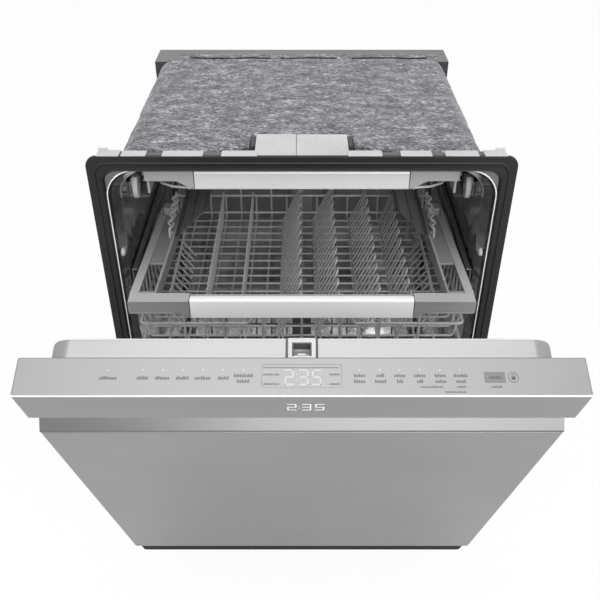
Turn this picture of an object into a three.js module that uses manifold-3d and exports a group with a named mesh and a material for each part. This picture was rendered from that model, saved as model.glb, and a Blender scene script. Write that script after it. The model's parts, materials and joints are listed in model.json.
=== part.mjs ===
// Built-in dishwasher, 24 inch class, with its door 24 degrees open.
// X runs to the right, Y runs back into the tub and Z runs up; lengths are in millimetres.
// Pieces are laid out from the front face of the tub's flange (y = 0) and the floor (z = 0).
// The door's pieces are laid out with the door shut and then turned about the hinge together.

import * as THREE from 'three';
import { mergeVertices } from 'three/addons/utils/BufferGeometryUtils.js';
import Module from 'manifold-3d';

const wasm = await Module();
wasm.setup();

// Door, outer sizes.
const doorWidth = 603;
const doorHeight = 700;
const doorThickness = 75;
const doorBottom = 150;
const doorOpenAngle = THREE.MathUtils.degToRad(24.1);
const hingeForward = 13.5;
const hingeHeight = 102;

// Shared stock and clearances.
const gap = 0.4;
const overrun = 2;
const sheet = 1.2;
const wireRadius = 2.4;
const tineRadius = 1.8;
const tubeWall = 2.5;
const drumSides = 24;
const smallDrumSides = 16;
const wireSides = 4;

// Control console along the door's top.
const consoleHeight = 62;
const consoleWall = 2.4;
const shellDepth = 45;
const lensHalfWidth = 42;
const lensDepth = 26;
const lensSetBack = 10;
const lensThickness = 1;

// Pocket handle under the console.
const pocketHeight = 46;
const pocketDepth = 30;
const pocketSkin = 2.6;
const pocketEndCap = 3;
const pocketLip = 3;
const pocketStraight = 22;

// Inner liner of the door.
const linerSideClearance = 0.5;
const linerDepth = 21;
const linerRimRise = 3.5;
const linerRimWidth = 12;
const linerTopDrop = 1.5;
const linerBottom = 128;
const linerCorner = 24;
const linerEdge = 4;

// Latch in the liner's top edge.
const latchWidth = 34;
const latchHeight = 23;
const latchPocketWidth = 21;
const latchPocketDepth = 15;
const latchPocketHeight = 17;
const latchBarDepth = 6;
const latchBarHeight = 3;
const pawlWidth = 10;
const pawlDepth = 5;
const pawlHeight = 9;

// Detergent and rinse aid dispenser in the liner.
const dispenserWidth = 164;
const dispenserHeight = 150;
const dispenserLeft = -125;
const dispenserLow = 405;
const dispenserProud = 3;
const cupWidth = 86;
const cupHeight = 118;
const cupDepth = 18;
const cupMargin = 10;
const lidOverlap = 4;
const lidThickness = 3;
const lidRise = 0.8;
const capRadius = 16;
const capHoleRadius = 13;
const capHoleDepth = 14;
const capThickness = 4;
const capGripWidth = 5;
const capGripRise = 3;
const capInset = 31;

// Dark strip under the outer panel.
const stripSideInset = 9.5;
const stripHeight = 36;
const stripDepth = 34;
const stripSetBack = 1;

// Hinge arms on the door and their brackets on the base.
const armThickness = 6;
const armTop = 330;
const armTopWidth = 12;
const armEyeRadius = 11;
const armRearClearance = 8;
const pinRadius = 4.6;
const pinClearance = 0.3;
const bracketThickness = 4;
const bracketLow = 60;
const bracketNoseRise = 12;
const bracketNoseRadius = 8;
const bracketNoseDrop = 2;
const bracketReach = 22;

// Tub and its flange.
const flangeSideInset = 4.5;
const flangeFaceWidth = 23.5;
const flangeTopFaceHeight = 23;
const flangeBottomFaceHeight = 22;
const flangeCorner = 16;
const tubFlareWidth = 7.5;
const tubFlareTop = 21;
const tubFlareBottom = 6;
const openingCorner = 42;
const openingLowCorner = 14;
const tubFloor = 128;
const tubCorner = 42;
const tubLowCorner = 12;
const tubSheet = 1.5;
const tubFlangeSetBack = 4;
const tubFlareDepth = 40;
const tubDepth = 486.5;
const tubRearRound = 18;
const flangeTuck = 5;
const cornerSteps = 5;

// Black frame and seal around the opening.
const bandWidth = 21.5;
const bandThickness = 3.6;
const bandReturn = 5;
const bandInnerCorner = 20;
const lipWidth = 3;
const lipRise = 3;
const outerLipRise = 1.2;
const outerLipOffset = 9;

// Felt blanket around the tub.
const blanketSideThickness = 13;
const blanketTopThickness = 14;
const blanketBottom = 150;
const blanketCorner = 34;
const blanketLowCorner = 1.2;
const blanketFront = 84;
const blanketRearThickness = 9;
const blanketRearRound = 16;
const blanketNotchHalf = 78;
const blanketNotchRear = 142;
const blanketFlapRear = 106;
const flapShares = [[1.7, 0.25], [1.1, 1]];

// Plate in the blanket's notch and plastic brackets behind the flange's top.
const plateHalf = 69;
const plateFront = 50;
const plateRear = 139;
const plateRise = 16;
const bracketRunInset = 16;
const bracketRunInner = 64;
const bracketRunRear = 30;
const bracketRunThickness = 8;
const bracketRunFront = 6;
const bracketWebThickness = 4;
const mountTabWidth = 13;
const mountTabRise = 3;
const mountTabThickness = 3;
const mountTabForward = 20;
const windowWidth = 23;
const windowOffset = 46;
const slotWidth = 3;
const slotSteps = [2, 3];

// Rear frame, an upside-down U of channel.
const rearFrameInset = 15.25;
const rearFrameRise = 4;
const rearFrameClearance = 2.5;
const rearFrameDepth = 70.5;
const rearBeamHeight = 42;
const rearPostWidth = 40;
const rearFrameBottom = 30;

// Base, toe panel and levelling feet.
const baseSideInset = 12;
const baseFront = 30;
const baseBottom = 20;
const baseWall = 3;
const toeSideInset = 3;
const toeTop = 100;
const toeBottom = 8;
const toeDepth = 5.6;
const toeSkin = 2;
const footPadRadius = 18;
const footPadHeight = 8;
const footStudRadius = 6;
const footStudTop = 40;
const footInset = 34;

// Door springs in the base.
const springRadius = 9;
const springLength = 180;
const springHookRadius = 2.5;
const springHookLength = 22;
const springInset = 17;
const springHeight = 74;

// Sump, filters and spray feed.
const sumpCentre = 250;
const sumpInner = 92;
const sumpWall = 4;
const sumpBottom = 50;
const sumpFloor = 64;
const sumpFlange = 106;
const sumpHoleRadius = 91;
const postRadius = 16;
const postTop = 150;
const filterPlateThickness = 2;
const filterRadius = 30;
const filterTop = 142;
const filterWall = 2.4;
const filterX = 48;
const filterForward = 30;
const filterClearance = 1;

// Feed duct on the rear wall, under the ceiling and along the floor.
const ductHalf = 22;
const ductThickness = 20;
const ductFloorHeight = 12;
const ductCeilingHeight = 4.4;
const ductHubRadius = 24;
const ductPortRadius = 14;
const ductPortLength = 10;

// Spray arms.
const lowerArmReach = 212;
const middleArmReach = 181;
const upperArmReach = 148;
const armBladeWidth = 34;
const armTipWidth = 20;
const armBladeHeight = 10;
const armHubRadius = 22;
const armHubHeight = 13;
const upperArmHeight = 6;

// Motor, pump and valve in the base.
const motorRadius = 44;
const motorLength = 84;
const motorHeight = 70;
const motorCapRadius = 30;
const motorCapLength = 10;
const pumpRadius = 28;
const pumpLength = 70;
const pumpHeight = 56;
const valveWidth = 44;
const valveDepth = 50;
const valveHeight = 52;
const valveSideInset = 85;
const valveRearInset = 74.1;
const valveStubRadius = 11;
const valveStubLength = 20;

// Rails on the tub's walls.
const thirdRailFront = 96;
const railRearClearance = 24.5;
const thirdRailDrop = 44;
const thirdRailHeight = 24;
const thirdRailDepth = 17;
const railCapLength = 22;
const railCapWidth = 9;
const railCapRise = 12;
const railCapDrop = 24;
const middleRailFront = 40;
const middleRailTopDrop = 27;
const middleRailHeight = 30;
const middleRailDepth = 9;

// Handle bars of the two upper racks.
const barHalf = 158.5;
const barThickness = 10.6;
const barHeight = 33;
const thirdBarHeight = 30;
const barEdge = 2;
const barRise = 3;
const sweepShares = [[2, 0], [1, 0.25], [0.35, 0.6]];

// Third rack, for cutlery.
const thirdFront = 61;
const thirdTopClearance = 9;
const thirdSideClearance = 33;
const thirdEndHeight = 17;
const thirdFrameDepth = 19;
const thirdRearClearance = 34.5;
const thirdRimDrop = 25;
const thirdTrayDepth = 12;
const thirdRunnerHeight = 20;
const thirdWall = 4;
const thirdCrossWires = 6;
const thirdLongWires = 7;

// Middle rack.
const middleFront = -84;
const middleTop = 667;
const middleSideClearance = 19;
const middleEndHeight = 23;
const middleFrameDepth = 22;
const middleRailDrop = 25;
const sideRailWidth = 38;
const sideRailHeight = 32;
const sideRailRear = 232;
const sideRailWall = 4;
const adjusterLength = 28;
const adjusterRise = 12;
const middleBasketFront = -38;
const middleRearClearance = 121.5;
const middleBasketHeight = 119;
const middleLowHoopRise = 19;
const middleMidHoopRise = 45;
const middleHookDrop = 17;
const middleFloorInset = 7;
const basketInset = 1;
const jogRise = 19;
const jogInnerHalf = 66;
const jogOuterHalf = 82;
const middleLongHalf = 177;
const middleLongWires = 7;
const middleCrossWires = 4;
const middleRunnerHeight = 13;
const wireCorner = 10;
const feedTubeDrop = 18;
const feedTubeRadius = 8;
const feedMouthRadius = 10.5;
const feedMouthLength = 12;
const feedStemHeight = 16;
const feedClipWidth = 10;
const feedTubeRearInset = 13;
const middleArmCentre = 170;

// Cup shelves that fold on the middle rack.
const shelfFront = 120;
const shelfLength = 190;
const shelfReach = 76;
const shelfThickness = 3.2;
const shelfRibs = 9;
const shelfRibWidth = 5;
const shelfTilt = THREE.MathUtils.degToRad(45);
const shelfHingeRadius = 3.2;
const shelfHingeRise = 6;

// Lower rack.
const lowerFront = -15;
const lowerRearClearance = 90.5;
const lowerSideClearance = 20;
const lowerFloorRise = 56;
const lowerBasketHeight = 154;
const lowerMidHoopRise = 78;
const lowerFloorInset = 22;
const lowerLongWires = 7;
const lowerCrossWires = 5;
const wheelRadius = 17;
const wheelWidth = 9;
const wheelClearance = 0.6;
const wheelFrontY = 56;
const wheelRearInset = 60;
const axleRadius = 3;
const wheelBracketWidth = 16;
const wheelBracketThickness = 4;
const tineRowX = -78;
const tineRowFront = 30;
const tineRowRearInset = 46;
const tineRowCount = 9;
const tineHeight = 104;

// Sizes that follow from the ones above.
const wireHalf = wireRadius * Math.SQRT1_2;
const tineHalf = tineRadius * Math.SQRT1_2;
const doorTop = doorBottom + doorHeight;
const doorHalf = doorWidth / 2;
const shellRear = -doorThickness + shellDepth;
const consoleBottom = doorTop - consoleHeight;
const pocketBottom = consoleBottom - pocketHeight;

const flangeHalf = doorHalf - flangeSideInset;
const flangeTop = doorTop;
const openingHalf = flangeHalf - flangeFaceWidth;
const openingTop = flangeTop - flangeTopFaceHeight;
const openingBottom = tubFloor - tubFlareBottom;
const flangeBottom = openingBottom - flangeBottomFaceHeight;
const tubHalf = openingHalf - tubFlareWidth;
const tubTop = openingTop - tubFlareTop;
const tubBottom = tubFloor - tubSheet;
const tubRear = tubDepth + tubSheet;

const linerHalf = openingHalf - linerSideClearance;
const linerRear = shellRear + linerDepth;
const linerRimRear = linerRear + linerRimRise;
const linerTop = doorTop - linerTopDrop;

const blanketHalf = tubHalf + blanketSideThickness;
const blanketTop = tubTop + blanketTopThickness;
const blanketRear = tubRear + blanketRearThickness;
const plateTop = tubTop + plateRise;
const bracketRunOuter = flangeHalf - bracketRunInset;
const mountTabTop = flangeTop + mountTabRise;
const rearFrameHalf = flangeHalf - rearFrameInset;
const rearFrameTop = tubTop + rearFrameRise;
const rearFrameFront = blanketRear + rearFrameClearance;
const rearFrameRear = rearFrameFront + rearFrameDepth;
const baseHalf = flangeHalf - baseSideInset;
const baseRear = rearFrameFront - gap;
const toeHalf = baseHalf - toeSideInset;
const armOuter = baseHalf;
const valveFront = baseRear - valveRearInset;
const valveX = baseHalf - valveSideInset;
const ductFront = tubDepth - gap - ductThickness;

const railRear = tubDepth - railRearClearance;
const thirdRailTop = tubTop - thirdRailDrop;
const railCapTop = thirdRailTop + railCapRise;
const railCapBottom = thirdRailTop - railCapDrop;
const thirdTop = tubTop - thirdTopClearance;
const thirdHalf = tubHalf - thirdSideClearance;
const thirdTrayRear = tubDepth - thirdRearClearance;
const thirdRim = thirdTop - thirdRimDrop;
const thirdFloor = thirdRim - thirdTrayDepth;

const middleHalf = tubHalf - middleSideClearance;
const middleBasketRear = tubDepth - middleRearClearance;
const middleFloor = middleTop - middleBasketHeight;
const middleLowHoop = middleFloor + middleLowHoopRise;
const middleMidHoop = middleFloor + middleMidHoopRise;
const middleHookTop = middleTop - middleHookDrop;
const middleRailTop = middleTop - middleRailTopDrop;
const feedTubeHeight = middleFloor - feedTubeDrop;
const feedTubeRear = middleBasketRear - feedTubeRearInset;

const lowerHalf = tubHalf - lowerSideClearance;
const lowerRear = tubDepth - lowerRearClearance;
const lowerFloor = tubFloor + lowerFloorRise;
const lowerRim = lowerFloor + lowerBasketHeight;
const lowerMidHoop = lowerFloor + lowerMidHoopRise;
const wheelHeight = tubFloor + wheelClearance + wheelRadius;
const wheelRearY = lowerRear - wheelRearInset;
const tineRowRear = lowerRear - tineRowRearInset;

// Shapes as solids.

const mergeDistance = 1e-4;

function signedVolume(position, index) {
  const a = new THREE.Vector3();
  const b = new THREE.Vector3();
  const c = new THREE.Vector3();
  let volume = 0;
  for (let i = 0; i < index.count; i += 3) {
    a.fromBufferAttribute(position, index.getX(i));
    b.fromBufferAttribute(position, index.getX(i + 1));
    c.fromBufferAttribute(position, index.getX(i + 2));
    volume += a.dot(b.cross(c));
  }
  return volume;
}

// A closed three.js geometry becomes a solid that can be joined and cut.
function solidOf(geometry) {
  const plain = geometry.clone();
  plain.deleteAttribute('normal');
  plain.deleteAttribute('uv');
  const merged = mergeVertices(plain, mergeDistance);
  const corners = Array.from(merged.index.array);
  if (signedVolume(merged.attributes.position, merged.index) < 0) corners.reverse();
  return new wasm.Manifold(new wasm.Mesh({
    numProp: 3,
    vertProperties: new Float32Array(merged.attributes.position.array),
    triVerts: new Uint32Array(corners),
  }));
}

function geometryOf(solid) {
  const mesh = solid.getMesh();
  const geometry = new THREE.BufferGeometry();
  geometry.setAttribute('position', new THREE.BufferAttribute(mesh.vertProperties, mesh.numProp));
  geometry.setIndex(new THREE.BufferAttribute(mesh.triVerts, 1));
  return geometry;
}

function join(solids) {
  return solids.reduce((whole, piece) => whole.add(piece));
}

function block(left, right, front, rear, low, high) {
  const box = new THREE.BoxGeometry(right - left, rear - front, high - low);
  box.translate((left + right) / 2, (front + rear) / 2, (low + high) / 2);
  return solidOf(box);
}

// A block as wide on both sides of x = 0.
function centred(half, front, rear, low, high) {
  return block(-half, half, front, rear, low, high);
}

function outlineOf(points) {
  return new THREE.Shape(points.map(([across, along]) => new THREE.Vector2(across, along)));
}

// An outline of [y, z] points, drawn out along X.
function profileAlongX(points, left, right) {
  const prism = new THREE.ExtrudeGeometry(outlineOf(points), { depth: right - left, bevelEnabled: false });
  const turn = new THREE.Matrix4().makeBasis(
    new THREE.Vector3(0, 1, 0), new THREE.Vector3(0, 0, 1), new THREE.Vector3(1, 0, 0));
  prism.applyMatrix4(turn);
  prism.translate(left, 0, 0);
  return solidOf(prism);
}

// An outline of [x, z] points, drawn out along Y.
function profileAlongY(points, front, rear) {
  const prism = new THREE.ExtrudeGeometry(outlineOf(points), { depth: rear - front, bevelEnabled: false });
  prism.rotateX(Math.PI / 2);
  prism.translate(0, rear, 0);
  return solidOf(prism);
}

// An outline of [x, y] points, drawn out along Z.
function profileAlongZ(points, low, high) {
  const prism = new THREE.ExtrudeGeometry(outlineOf(points), { depth: high - low, bevelEnabled: false });
  prism.translate(0, 0, low);
  return solidOf(prism);
}

function drum(radius, length, sides, axis, x, y, z) {
  const cylinder = new THREE.CylinderGeometry(radius, radius, length, sides);
  if (axis === 'x') cylinder.rotateZ(Math.PI / 2);
  if (axis === 'z') cylinder.rotateX(Math.PI / 2);
  cylinder.translate(x, y, z);
  return solidOf(cylinder);
}

// A profile of [radius, height] points turned about an upright axis at x, y.
function turned(profile, sides, x, y) {
  const body = new THREE.LatheGeometry(profile.map(([r, h]) => new THREE.Vector2(r, h)), sides);
  body.rotateX(Math.PI / 2);
  body.translate(x, y, 0);
  return solidOf(body);
}

// Points of a rounded rectangle in [x, z], all with the same count of points.
function roundedOutline(half, low, high, lowRadius, highRadius) {
  const points = [];
  const corners = [
    [half - highRadius, high - highRadius, highRadius, 0],
    [-half + highRadius, high - highRadius, highRadius, 1],
    [-half + lowRadius, low + lowRadius, lowRadius, 2],
    [half - lowRadius, low + lowRadius, lowRadius, 3],
  ];
  for (const [x, z, radius, quarter] of corners) {
    for (let step = 0; step <= cornerSteps; step += 1) {
      const angle = (quarter + step / cornerSteps) * Math.PI / 2;
      points.push([x + radius * Math.cos(angle), z + radius * Math.sin(angle)]);
    }
  }
  return points;
}

// A body through outlines of [x, z] points, from its front to its back.
function loftAlongY(sections) {
  const positions = [];
  const faces = [];
  const count = sections[0].outline.length;
  for (const { outline, y } of sections) {
    for (const [x, z] of outline) positions.push(x, y, z);
  }
  for (let ring = 0; ring + 1 < sections.length; ring += 1) {
    for (let i = 0; i < count; i += 1) {
      const a = ring * count + i;
      const b = ring * count + (i + 1) % count;
      faces.push(a, b, b + count, a, b + count, a + count);
    }
  }
  const flat = sections[0].outline.map(([x, z]) => new THREE.Vector2(x, z));
  const last = (sections.length - 1) * count;
  for (const [a, b, c] of THREE.ShapeUtils.triangulateShape(flat, [])) {
    faces.push(a, c, b);
    faces.push(last + a, last + b, last + c);
  }
  const geometry = new THREE.BufferGeometry();
  geometry.setAttribute('position', new THREE.Float32BufferAttribute(positions, 3));
  geometry.setIndex(faces);
  return solidOf(geometry);
}

// A path that runs straight from point to point, with one tube ring at each point.
class BentPath extends THREE.Curve {
  constructor(points) {
    super();
    this.points = points;
  }

  getPoint(share) {
    const place = share * (this.points.length - 1);
    const index = Math.min(Math.floor(place), this.points.length - 2);
    return this.points[index].clone().lerp(this.points[index + 1], place - index);
  }

  getPointAt(share) {
    return this.getPoint(share);
  }

  getSpacedPoints() {
    return this.points.map((point) => point.clone());
  }

  getTangentAt(share) {
    const index = Math.round(share * (this.points.length - 1));
    const before = this.points[Math.max(index - 1, 0)];
    const here = this.points[index];
    const after = this.points[Math.min(index + 1, this.points.length - 1)];
    const arriving = here.clone().sub(before).normalize();
    const leaving = after.clone().sub(here).normalize();
    return arriving.add(leaving).normalize();
  }
}

// Corner points are cut short on both sides, so that a wire bends in two steps.
function easedCorners(points, radius) {
  const eased = [points[0]];
  for (let i = 1; i + 1 < points.length; i += 1) {
    const back = points[i - 1].clone().sub(points[i]).normalize().multiplyScalar(radius);
    const ahead = points[i + 1].clone().sub(points[i]).normalize().multiplyScalar(radius);
    eased.push(points[i].clone().add(back), points[i].clone().add(ahead));
  }
  eased.push(points[points.length - 1]);
  return eased;
}

function wire(corners, radius, bend = 0) {
  const points = corners.map(([x, y, z]) => new THREE.Vector3(x, y, z));
  const path = new BentPath(bend > 0 ? easedCorners(points, bend) : points);
  const tube = new THREE.ExtrudeGeometry(sectionOf(radius), {
    extrudePath: path,
    steps: path.points.length - 1,
    bevelEnabled: false,
  });
  return solidOf(tube);
}

function sectionOf(radius) {
  const corners = [];
  for (let side = 0; side < wireSides; side += 1) {
    const angle = (side + 0.5) * 2 * Math.PI / wireSides;
    corners.push(new THREE.Vector2(radius * Math.cos(angle), radius * Math.sin(angle)));
  }
  return new THREE.Shape(corners);
}

// Even places from first to last, ends included.
function spread(first, last, count) {
  return Array.from({ length: count }, (unused, i) => first + (last - first) * i / (count - 1));
}

const sides = [['left', -1], ['right', 1]];

// The scene graph.

const dishwasher = new THREE.Group();
const cabinet = new THREE.Group();
const hinge = new THREE.Group();
const door = new THREE.Group();
hinge.position.set(0, -hingeForward, hingeHeight);
hinge.rotation.x = doorOpenAngle;
door.position.set(0, hingeForward, -hingeHeight);
hinge.add(door);
cabinet.add(hinge);
dishwasher.add(cabinet);

function material(color, roughness, metalness) {
  return new THREE.MeshStandardMaterial({ color, roughness, metalness });
}

function addPiece(parent, name, solid, finish) {
  const mesh = new THREE.Mesh(geometryOf(solid), finish);
  mesh.name = name;
  parent.add(mesh);
  return mesh;
}

const brushedSteel = () => material(0x9a9a9c, 0.32, 0.9);
const brightSteel = () => material(0xd8dadd, 0.25, 0.9);
const tubSteel = () => material(0x6a6c70, 0.2, 0.95);
const coatedWire = () => material(0x8c8e92, 0.45, 0.3);
const greyPlastic = () => material(0x8a8c90, 0.5, 0);
const palePlastic = () => material(0xd6d6d8, 0.5, 0);
const darkPlastic = () => material(0x38393c, 0.5, 0);
const blackRubber = () => material(0x333336, 0.7, 0);
const silverBar = () => material(0xd6d7da, 0.35, 0.6);
const greyFelt = () => material(0x7c7c82, 0.95, 0);
const darkSteel = () => material(0x4a4b4e, 0.45, 0.8);

// Outer panel: a stainless pan, open at the back and at the top, under the pocket.
function outerPanel() {
  const pan = centred(doorHalf, -doorThickness, shellRear - gap, doorBottom, pocketBottom);
  const hollow = centred(doorHalf - sheet, -doorThickness + sheet, shellRear + overrun,
    doorBottom + sheet, pocketBottom + overrun);
  return pan.subtract(hollow);
}

function insulation() {
  return centred(doorHalf - sheet - gap, -doorThickness + sheet + gap, shellRear - gap,
    doorBottom + sheet + gap, pocketBottom - pocketLip);
}

// Console: a shell open at the back and below, with a seat for the display lens on top.
function controlConsole() {
  const shell = centred(doorHalf, -doorThickness, shellRear - gap, consoleBottom, doorTop);
  const hollow = centred(doorHalf - consoleWall, -doorThickness + consoleWall, shellRear + overrun,
    consoleBottom - overrun, doorTop - consoleWall);
  const seatFront = -doorThickness + lensSetBack;
  const seat = centred(lensHalfWidth, seatFront, seatFront + lensDepth,
    doorTop - lensThickness - gap, doorTop + overrun);
  return shell.subtract(hollow).subtract(seat);
}

function displayLens() {
  const seatFront = -doorThickness + lensSetBack;
  return centred(lensHalfWidth - gap, seatFront + gap, seatFront + lensDepth - gap,
    doorTop - lensThickness, doorTop);
}

// Pocket handle: a bent skin that runs back, down and out again, with a plate behind each end of it.
function pocketHandle() {
  const top = consoleBottom - gap;
  const low = pocketBottom + gap;
  const back = -doorThickness + pocketDepth;
  const bend = consoleBottom - pocketStraight;
  const skin = profileAlongX([
    [back, top],
    [back, bend],
    [-doorThickness, low + pocketLip],
    [-doorThickness, low],
    [-doorThickness + pocketSkin, low],
    [back + pocketSkin, bend - pocketSkin],
    [back + pocketSkin, top],
  ], -doorHalf, doorHalf);
  const plates = sides.map(([, side]) => {
    const span = [side * (doorHalf - pocketEndCap), side * doorHalf];
    return profileAlongX([
      [back, top],
      [back, bend],
      [-doorThickness, low + pocketLip],
      [-doorThickness, low],
      [shellRear - gap, low],
      [shellRear - gap, top],
    ], Math.min(...span), Math.max(...span));
  });
  return join([skin, ...plates]);
}

// A rounded pan with a raised rim towards the tub, drawn in by `inset` all round and from its back.
function linerBody(inset) {
  const outlineAt = (draw) => roundedOutline(linerHalf - inset - draw, linerBottom + inset + draw,
    linerTop - inset - draw, linerCorner, linerCorner);
  const rimRear = linerRimRear - inset;
  const rimWidth = linerRimWidth - 2 * inset;
  const rounding = linerEdge * (1 - Math.SQRT1_2);
  return loftAlongY([
    { outline: outlineAt(0), y: shellRear - (inset > 0 ? overrun : 0) },
    { outline: outlineAt(0), y: rimRear - linerEdge },
    { outline: outlineAt(rounding), y: rimRear - rounding },
    { outline: outlineAt(linerEdge), y: rimRear },
    { outline: outlineAt(rimWidth), y: rimRear },
    { outline: outlineAt(rimWidth + linerRimRise), y: linerRear - inset },
  ]);
}

function innerLiner() {
  const latchSeat = centred(latchWidth / 2 + gap, shellRear - overrun, linerRimRear + overrun,
    linerTop - latchHeight - gap, linerTop + overrun);
  const dispenserSeat = block(dispenserLeft, dispenserLeft + dispenserWidth, shellRear - overrun,
    linerRear + overrun, dispenserLow, dispenserLow + dispenserHeight);
  return linerBody(0).subtract(linerBody(sheet)).subtract(latchSeat).subtract(dispenserSeat);
}

function latchHousing() {
  const low = linerTop - latchHeight;
  const housing = centred(latchWidth / 2, shellRear, linerRimRear, low, linerTop);
  const well = centred(latchPocketWidth / 2, linerRear - latchPocketDepth, linerRimRear - latchBarDepth,
    linerTop - latchPocketHeight, linerTop + overrun);
  const mouth = centred(latchPocketWidth / 2, linerRear - latchPocketDepth, linerRimRear + overrun,
    linerTop - latchPocketHeight, linerTop - latchBarHeight);
  return housing.subtract(well).subtract(mouth);
}

function latchPawl() {
  const front = linerRear - latchPocketDepth + gap;
  const low = linerTop - latchPocketHeight + gap;
  return profileAlongX([
    [front, low],
    [front + pawlDepth, low],
    [front + pawlDepth, low + pawlHeight / 2],
    [front + pawlDepth / 2, low + pawlHeight],
    [front, low + pawlHeight],
  ], -pawlWidth / 2, pawlWidth / 2);
}

const dispenserFace = linerRear + dispenserProud;
const cupRight = dispenserLeft + dispenserWidth - gap - cupMargin;
const cupLow = dispenserLow + (dispenserHeight - cupHeight) / 2;
const capX = dispenserLeft + capInset;
const capZ = dispenserLow + dispenserHeight / 2;

function dispenserHousing() {
  const body = block(dispenserLeft + gap, dispenserLeft + dispenserWidth - gap, shellRear,
    dispenserFace, dispenserLow + gap, dispenserLow + dispenserHeight - gap);
  const cup = block(cupRight - cupWidth, cupRight, dispenserFace - cupDepth,
    dispenserFace + overrun, cupLow, cupLow + cupHeight);
  const filler = drum(capHoleRadius, capHoleDepth + overrun, smallDrumSides, 'y',
    capX, dispenserFace + (overrun - capHoleDepth) / 2, capZ);
  return body.subtract(cup).subtract(filler);
}

function dispenserLid() {
  const front = dispenserFace + lidRise;
  const lid = block(cupRight - cupWidth - lidOverlap, cupRight + lidOverlap, front,
    front + lidThickness, cupLow - lidOverlap, cupLow + cupHeight + lidOverlap);
  const grip = block(cupRight - cupWidth, cupRight, front + lidThickness / 2,
    front + lidThickness + overrun, cupLow + lidOverlap, cupLow + 2 * lidOverlap);
  return lid.subtract(grip);
}

function rinseAidCap() {
  const front = dispenserFace + gap;
  const disc = drum(capRadius, capThickness, smallDrumSides, 'y', capX, front + capThickness / 2, capZ);
  const grip = block(capX - capRadius / 2, capX + capRadius / 2, front + capThickness / 2,
    front + capThickness + capGripRise, capZ - capGripWidth / 2, capZ + capGripWidth / 2);
  return disc.add(grip);
}

function bottomStrip() {
  return centred(doorHalf - stripSideInset, -doorThickness + stripSetBack,
    -doorThickness + stripSetBack + stripDepth, doorBottom - gap - stripHeight, doorBottom - gap);
}

// Hinge arm: a plate on the door's edge with an eye around the hinge pin.
function hingeArm(side) {
  const inner = side * (armOuter - armThickness);
  const outer = side * armOuter;
  const left = Math.min(inner, outer);
  const right = Math.max(inner, outer);
  const rear = -armRearClearance;
  const plate = profileAlongX([
    [shellRear, armTop],
    [shellRear, doorBottom],
    [-hingeForward - armEyeRadius / 2, hingeHeight],
    [-hingeForward + armEyeRadius / 2, hingeHeight],
    [rear, doorBottom],
    [shellRear + armTopWidth, armTop],
  ], left, right);
  const middle = (left + right) / 2;
  const eye = drum(armEyeRadius, armThickness, smallDrumSides, 'x', middle, -hingeForward, hingeHeight);
  const bore = drum(pinRadius + pinClearance, armThickness + 2 * overrun, smallDrumSides, 'x',
    middle, -hingeForward, hingeHeight);
  return plate.add(eye).subtract(bore);
}

addPiece(door, 'door_outer_panel', outerPanel(), brushedSteel());
addPiece(door, 'door_insulation', insulation(), material(0x4c4840, 0.95, 0));
addPiece(door, 'control_console', controlConsole(), brushedSteel());
addPiece(door, 'display_lens', displayLens(), material(0x98999c, 0.2, 0.2));
addPiece(door, 'pocket_handle', pocketHandle(), greyPlastic());
addPiece(door, 'door_inner_liner', innerLiner(), brightSteel());
addPiece(door, 'latch_housing', latchHousing(), greyPlastic());
addPiece(door, 'latch_pawl', latchPawl(), darkSteel());
addPiece(door, 'dispenser_housing', dispenserHousing(), greyPlastic());
addPiece(door, 'dispenser_lid', dispenserLid(), palePlastic());
addPiece(door, 'rinse_aid_cap', rinseAidCap(), darkPlastic());
addPiece(door, 'door_bottom_strip', bottomStrip(), darkPlastic());
for (const [name, side] of sides) {
  addPiece(door, `hinge_arm_${name}`, hingeArm(side), darkSteel());
}

// Tub: one stainless skin with a front flange, a flared mouth, a sump hole and a rounded back.
function tubSections(wall) {
  const mouth = roundedOutline(openingHalf + wall, openingBottom - wall, openingTop + wall,
    openingLowCorner + wall, openingCorner + wall);
  const body = (draw) => roundedOutline(tubHalf + wall - draw, tubFloor - wall + draw,
    tubTop + wall - draw, tubLowCorner + wall, tubCorner + wall);
  const rear = tubDepth + wall;
  const rounding = tubRearRound * (1 - Math.SQRT1_2);
  return [
    { outline: mouth, y: tubFlangeSetBack - (wall > 0 ? 0 : overrun) },
    { outline: body(0), y: tubFlangeSetBack + tubFlareDepth },
    { outline: body(0), y: rear - tubRearRound },
    { outline: body(rounding), y: rear - rounding },
    { outline: body(tubRearRound), y: rear },
  ];
}

function tubShell() {
  const tuck = flangeTuck;
  const flange = loftAlongY([tubFlangeSetBack, tubFlangeSetBack + tubSheet].map((y) => ({
    outline: roundedOutline(flangeHalf - tuck, flangeBottom + tuck, flangeTop - tuck,
      flangeCorner - tuck, flangeCorner - tuck),
    y,
  })));
  const sumpCut = drum(sumpHoleRadius, tubFloor, drumSides, 'z', 0, sumpCentre, tubFloor);
  return loftAlongY(tubSections(tubSheet)).add(flange)
    .subtract(loftAlongY(tubSections(0)))
    .subtract(sumpCut);
}

// A flat ring that follows the flange, from one draw-in to a larger one, with its inner corners' radius.
function ring(outerDraw, innerDraw, innerRadius, front, rear) {
  const at = (draw, radius) => roundedOutline(flangeHalf - draw, flangeBottom + draw,
    flangeTop - draw, radius, radius);
  const body = loftAlongY([front, rear].map((y) => ({ outline: at(outerDraw, flangeCorner), y })));
  const hole = loftAlongY([front - overrun, rear + overrun].map((y) => ({
    outline: at(innerDraw, innerRadius), y,
  })));
  return body.subtract(hole);
}

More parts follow.
